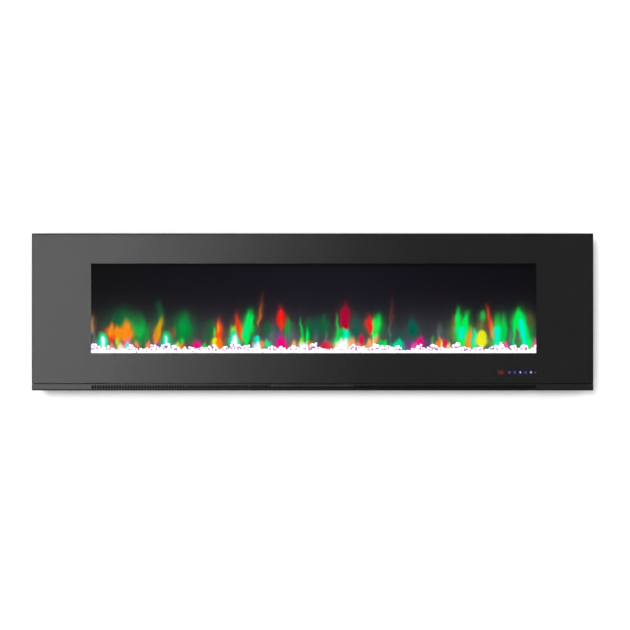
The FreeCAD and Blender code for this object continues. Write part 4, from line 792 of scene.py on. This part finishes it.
def clock_sign(shape, x, z):
    """A ring with two hands."""
    arc(shape, (x, z), 2.5, 0, 360, 0.8)
    bar(shape, (x, z), (x, z + 1.7), 0.7)
    bar(shape, (x, z), (x + 1.3, z), 0.7)


def heat_sign(shape, x, z):
    """Three wavy strokes side by side."""
    for shift in (-2.0, 0, 2.0):
        arc(shape, (x + shift, z + 1.4), 1.4, -90, 90, 0.8, 10)
        arc(shape, (x + shift, z - 1.4), 1.4, 90, 270, 0.8, 10)


def dot(shape, x, z, radius=1.3, sides=12):
    """A round spot."""
    turns = [2 * math.pi * step / sides for step in range(sides)]
    plate(shape, [(x + radius * math.cos(turn), z + radius * math.sin(turn)) for turn in turns])


# The strokes of a digit, in halves of its width and quarters of its height.
SEGMENTS = {
    "top": ((-1, 2), (1, 2)), "middle": ((-1, 0), (1, 0)), "bottom": ((-1, -2), (1, -2)),
    "upper_left": ((-1, 2), (-1, 0)), "upper_right": ((1, 2), (1, 0)),
    "lower_left": ((-1, 0), (-1, -2)), "lower_right": ((1, 0), (1, -2)),
}
DIGITS = {
    6: ("top", "middle", "bottom", "upper_left", "lower_left", "lower_right"),
    8: tuple(SEGMENTS),
}


def digit(shape, number, x, z, width=4.4, height=9.2, stroke=1.0):
    """One seven-segment digit centred on (x, z)."""
    shorten = 0.82
    for segment in DIGITS[number]:
        (x0, z0), (x1, z1) = SEGMENTS[segment]
        mid_x, mid_z = (x0 + x1) / 2, (z0 + z1) / 2
        start = (mid_x + (x0 - mid_x) * shorten, mid_z + (z0 - mid_z) * shorten)
        end = (mid_x + (x1 - mid_x) * shorten, mid_z + (z1 - mid_z) * shorten)
        bar(shape, (x + start[0] * width / 2, z + start[1] * height / 4),
            (x + end[0] * width / 2, z + end[1] * height / 4), stroke)


def lit_piece(name, shape, material):
    """Makes the shape a lit piece of the panel."""
    mesh = bpy.data.meshes.new(name)
    shape.to_mesh(mesh)
    shape.free()
    piece(name, mesh, "cabinet", "light_guides", material)


def glyph(name, material, drawers, x, shrink=1.0):
    """One lit sign round x: drawers is a list of (function, arguments)."""
    shape = bmesh.new()
    for drawer, values in drawers:
        drawer(shape, *values)
    for vertex in shape.verts:
        vertex.co.x = x * MM + (vertex.co.x - x * MM) * shrink
        vertex.co.z = (KEY_LEVEL + (vertex.co.z / MM - KEY_LEVEL) * shrink) * MM
    bmesh.ops.recalc_face_normals(shape, faces=shape.faces)
    lit_piece(name, shape, material)


def halo(name, x, colour, wide, tall):
    """The glow round a sign: a thin plate just behind it, inside its opening in the print."""
    shape = bmesh.new()
    corners = ((-1, -0.8), (-0.8, -1), (0.8, -1), (1, -0.8),
               (1, 0.8), (0.8, 1), (-0.8, 1), (-1, 0.8))
    plate(shape, [(x + across * wide, KEY_LEVEL + up * tall) for across, up in corners],
          front_gap=0.03, back_gap=0.01)
    lit_piece(name, shape, lamp(name, colour, 1.0))


def touch_keys():
    """The red display, the five lit signs and their soft blue glow."""
    half_gap = 3.9
    glyph("display_digits", lamp("display_red", (158, 20, 16), 1.0),
          [(digit, (6, DIGITS_AT - half_gap, KEY_LEVEL)),
           (digit, (8, DIGITS_AT + half_gap, KEY_LEVEL))], DIGITS_AT)
    halo("display_glow", DISPLAY_AT, (10, 2, 3), wide=12.4, tall=7.4)
    signs = [(power_sign, (196, 160, 214), 1.2), (flame_sign, (124, 160, 226), 1.2),
             (lamp_sign, (246, 248, 255), 3.0), (clock_sign, (132, 120, 255), 1.2),
             (heat_sign, (200, 246, 255), 2.0)]
    for index, (sign, colour, strength) in enumerate(signs):
        x = KEY_FIRST + KEY_PITCH * index
        glyph(f"key_sign_{index + 1}", lamp(f"key_light_{index + 1}", colour, strength),
              [(sign, (x, KEY_LEVEL))], x, shrink=0.60)
        halo(f"key_glow_{index + 1}", x, (3, 3, 66), wide=5.7, tall=5.7)
    lamp_at = KEY_FIRST + KEY_PITCH * 4.8
    glyph("heating_lamp", lamp("heating_red", (255, 70, 40), 1.2),
          [(dot, (lamp_at, KEY_LEVEL))], lamp_at)


# ------------------------------------------------------------ stage and light

def card(name, size, place, facing, material, **visibility):
    """A flat stage sheet of that size, facing a direction."""
    width, height = size
    mesh = mesh_of(name, [(-width / 2, -height / 2, 0), (width / 2, -height / 2, 0),
                          (width / 2, height / 2, 0), (-width / 2, height / 2, 0)], [(0, 1, 2, 3)])
    mesh.materials.append(material)
    made = bpy.data.objects.new(name, mesh)
    made.rotation_euler = Vector(facing).to_track_quat("Z", "Y").to_euler()
    made.location = place
    bpy.context.scene.collection.objects.link(made)
    for flag, value in visibility.items():
        setattr(made, flag, value)
    return made


def wall_material():
    """White wall, seen from its front only, so that the unit's back can be looked at."""
    material, nodes, links, shader = new_material("wall_paint")
    set_inputs(shader, Base_Color=(0.86, 0.86, 0.86, 1), Roughness=0.9, Specular_IOR_Level=0.0)
    side = nodes.new("ShaderNodeNewGeometry")
    clear = nodes.new("ShaderNodeBsdfTransparent")
    choice = nodes.new("ShaderNodeMixShader")
    links.new(side.outputs["Backfacing"], choice.inputs["Fac"])
    links.new(shader.outputs["BSDF"], choice.inputs[1])
    links.new(clear.outputs["BSDF"], choice.inputs[2])
    links.new(choice.outputs["Shader"], nodes["Material Output"].inputs["Surface"])
    return material


def reflected_card_material(width, bright, dim):
    """A softbox that fades from its bright side to its dim side."""
    material, nodes, links, shader = new_material("softbox")
    place = nodes.new("ShaderNodeTexCoord")
    split = nodes.new("ShaderNodeSeparateXYZ")
    links.new(place.outputs["Object"], split.inputs["Vector"])
    slant = nodes.new("ShaderNodeMath")
    slant.operation = "MULTIPLY_ADD"
    slant.inputs[1].default_value = 0.25
    links.new(split.outputs["Y"], slant.inputs[0])
    links.new(split.outputs["X"], slant.inputs[2])
    fade = nodes.new("ShaderNodeMapRange")
    set_inputs(fade, From_Min=-width / 2, From_Max=width / 2)
    links.new(slant.outputs["Value"], fade.inputs["Value"])
    stops = [(position, grey(level)) for position, level in
             ((0.16, dim), (0.36, dim * 1.1), (0.41, dim * 1.3), (0.46, dim * 1.65),
              (0.57, bright * 0.40), (0.68, bright * 0.68), (0.79, bright * 0.94),
              (0.90, bright))]
    colour = ramp(nodes, links, fade.outputs["Result"], stops)
    links.new(colour, shader.inputs["Emission Color"])
    set_inputs(shader, Emission_Strength=1.0, Base_Color=(0, 0, 0, 1), Specular_IOR_Level=0.0)
    return material


def floor_material():
    """Pale floor with faint clouds."""
    material, nodes, links, shader = new_material("pale_floor")
    two_tone(nodes, links, noise(nodes, links, 2.0), grey(0.78), grey(0.82),
             shader.inputs["Base Color"])
    set_inputs(shader, Roughness=0.8)
    return material


def stage():
    """A white wall, a pale floor, and a card in front that the glass mirrors."""
    level = -1.25
    wall_width, wall_height = 3.4, 2.5
    card("wall", (wall_width, wall_height), (0, 1 * MM, level + wall_height / 2), (0, -1, 0),
         wall_material(), visible_diffuse=False, visible_glossy=False, visible_shadow=False)
    card("floor", (9.0, 9.0), (0, 0, level), (0, 0, 1), floor_material(), visible_glossy=False)
    width = 5.2
    card("softbox", (width, 3.4), (0, -8.0, -0.12), (0, 1, 0),
         reflected_card_material(width, bright=1.40, dim=0.185),
         visible_camera=False, visible_diffuse=False, visible_shadow=False)


def lights():
    """One broad light from the upper left, and an even fill from all round."""
    sun = bpy.data.lights.new("key", "SUN")
    sun.energy = 2.1
    sun.angle = math.radians(12)
    made = bpy.data.objects.new("key", sun)
    made.visible_glossy = False
    aside, down = math.tan(math.radians(12)), math.tan(math.radians(7.5))
    made.rotation_euler = Vector((aside, 1, -down)).to_track_quat("-Z", "Y").to_euler()
    bpy.context.scene.collection.objects.link(made)
    world = bpy.data.worlds.new("studio")
    world.use_nodes = True
    nodes, links = world.node_tree.nodes, world.node_tree.links
    place = nodes.new("ShaderNodeTexCoord")
    split = nodes.new("ShaderNodeSeparateXYZ")
    links.new(place.outputs["Generated"], split.inputs["Vector"])
    mirrored = ramp(nodes, links, split.outputs["Z"], [(0.0, grey(0.10)), (0.5, grey(0.85))])
    fill = nodes["Background"]
    set_inputs(fill, Color=(0.90, 0.90, 0.90, 1))
    glossy = nodes.new("ShaderNodeBackground")
    links.new(mirrored, glossy.inputs["Color"])
    seen = nodes.new("ShaderNodeBackground")
    set_inputs(seen, Color=(1, 1, 1, 1))
    path = nodes.new("ShaderNodeLightPath")
    shown = fill.outputs["Background"]
    for kind, source in (("Is Glossy Ray", glossy), ("Is Camera Ray", seen)):
        choice = nodes.new("ShaderNodeMixShader")
        links.new(path.outputs[kind], choice.inputs["Fac"])
        links.new(shown, choice.inputs[1])
        links.new(source.outputs["Background"], choice.inputs[2])
        shown = choice.outputs["Shader"]
    links.new(shown, nodes["World Output"].inputs["Surface"])
    bpy.context.scene.world = world


def camera():
    """Square on to the front, from far off through a long lens."""
    eye = bpy.data.cameras.new("camera")
    eye.lens = 120
    eye.sensor_width = 36
    eye.clip_end = 60
    made = bpy.data.objects.new("camera", eye)
    distance = 6.84
    made.location = (0.008, GLASS_LOW.y - distance, -0.134)
    made.rotation_euler = (math.radians(90), 0, 0)
    bpy.context.scene.collection.objects.link(made)
    bpy.context.scene.camera = made


camera()
finish_cad_nodes()
front_glass()
flame_screen()
ember_crystals()
touch_keys()
stage()
lights()
bpy.context.scene.view_settings.view_transform = "Standard"
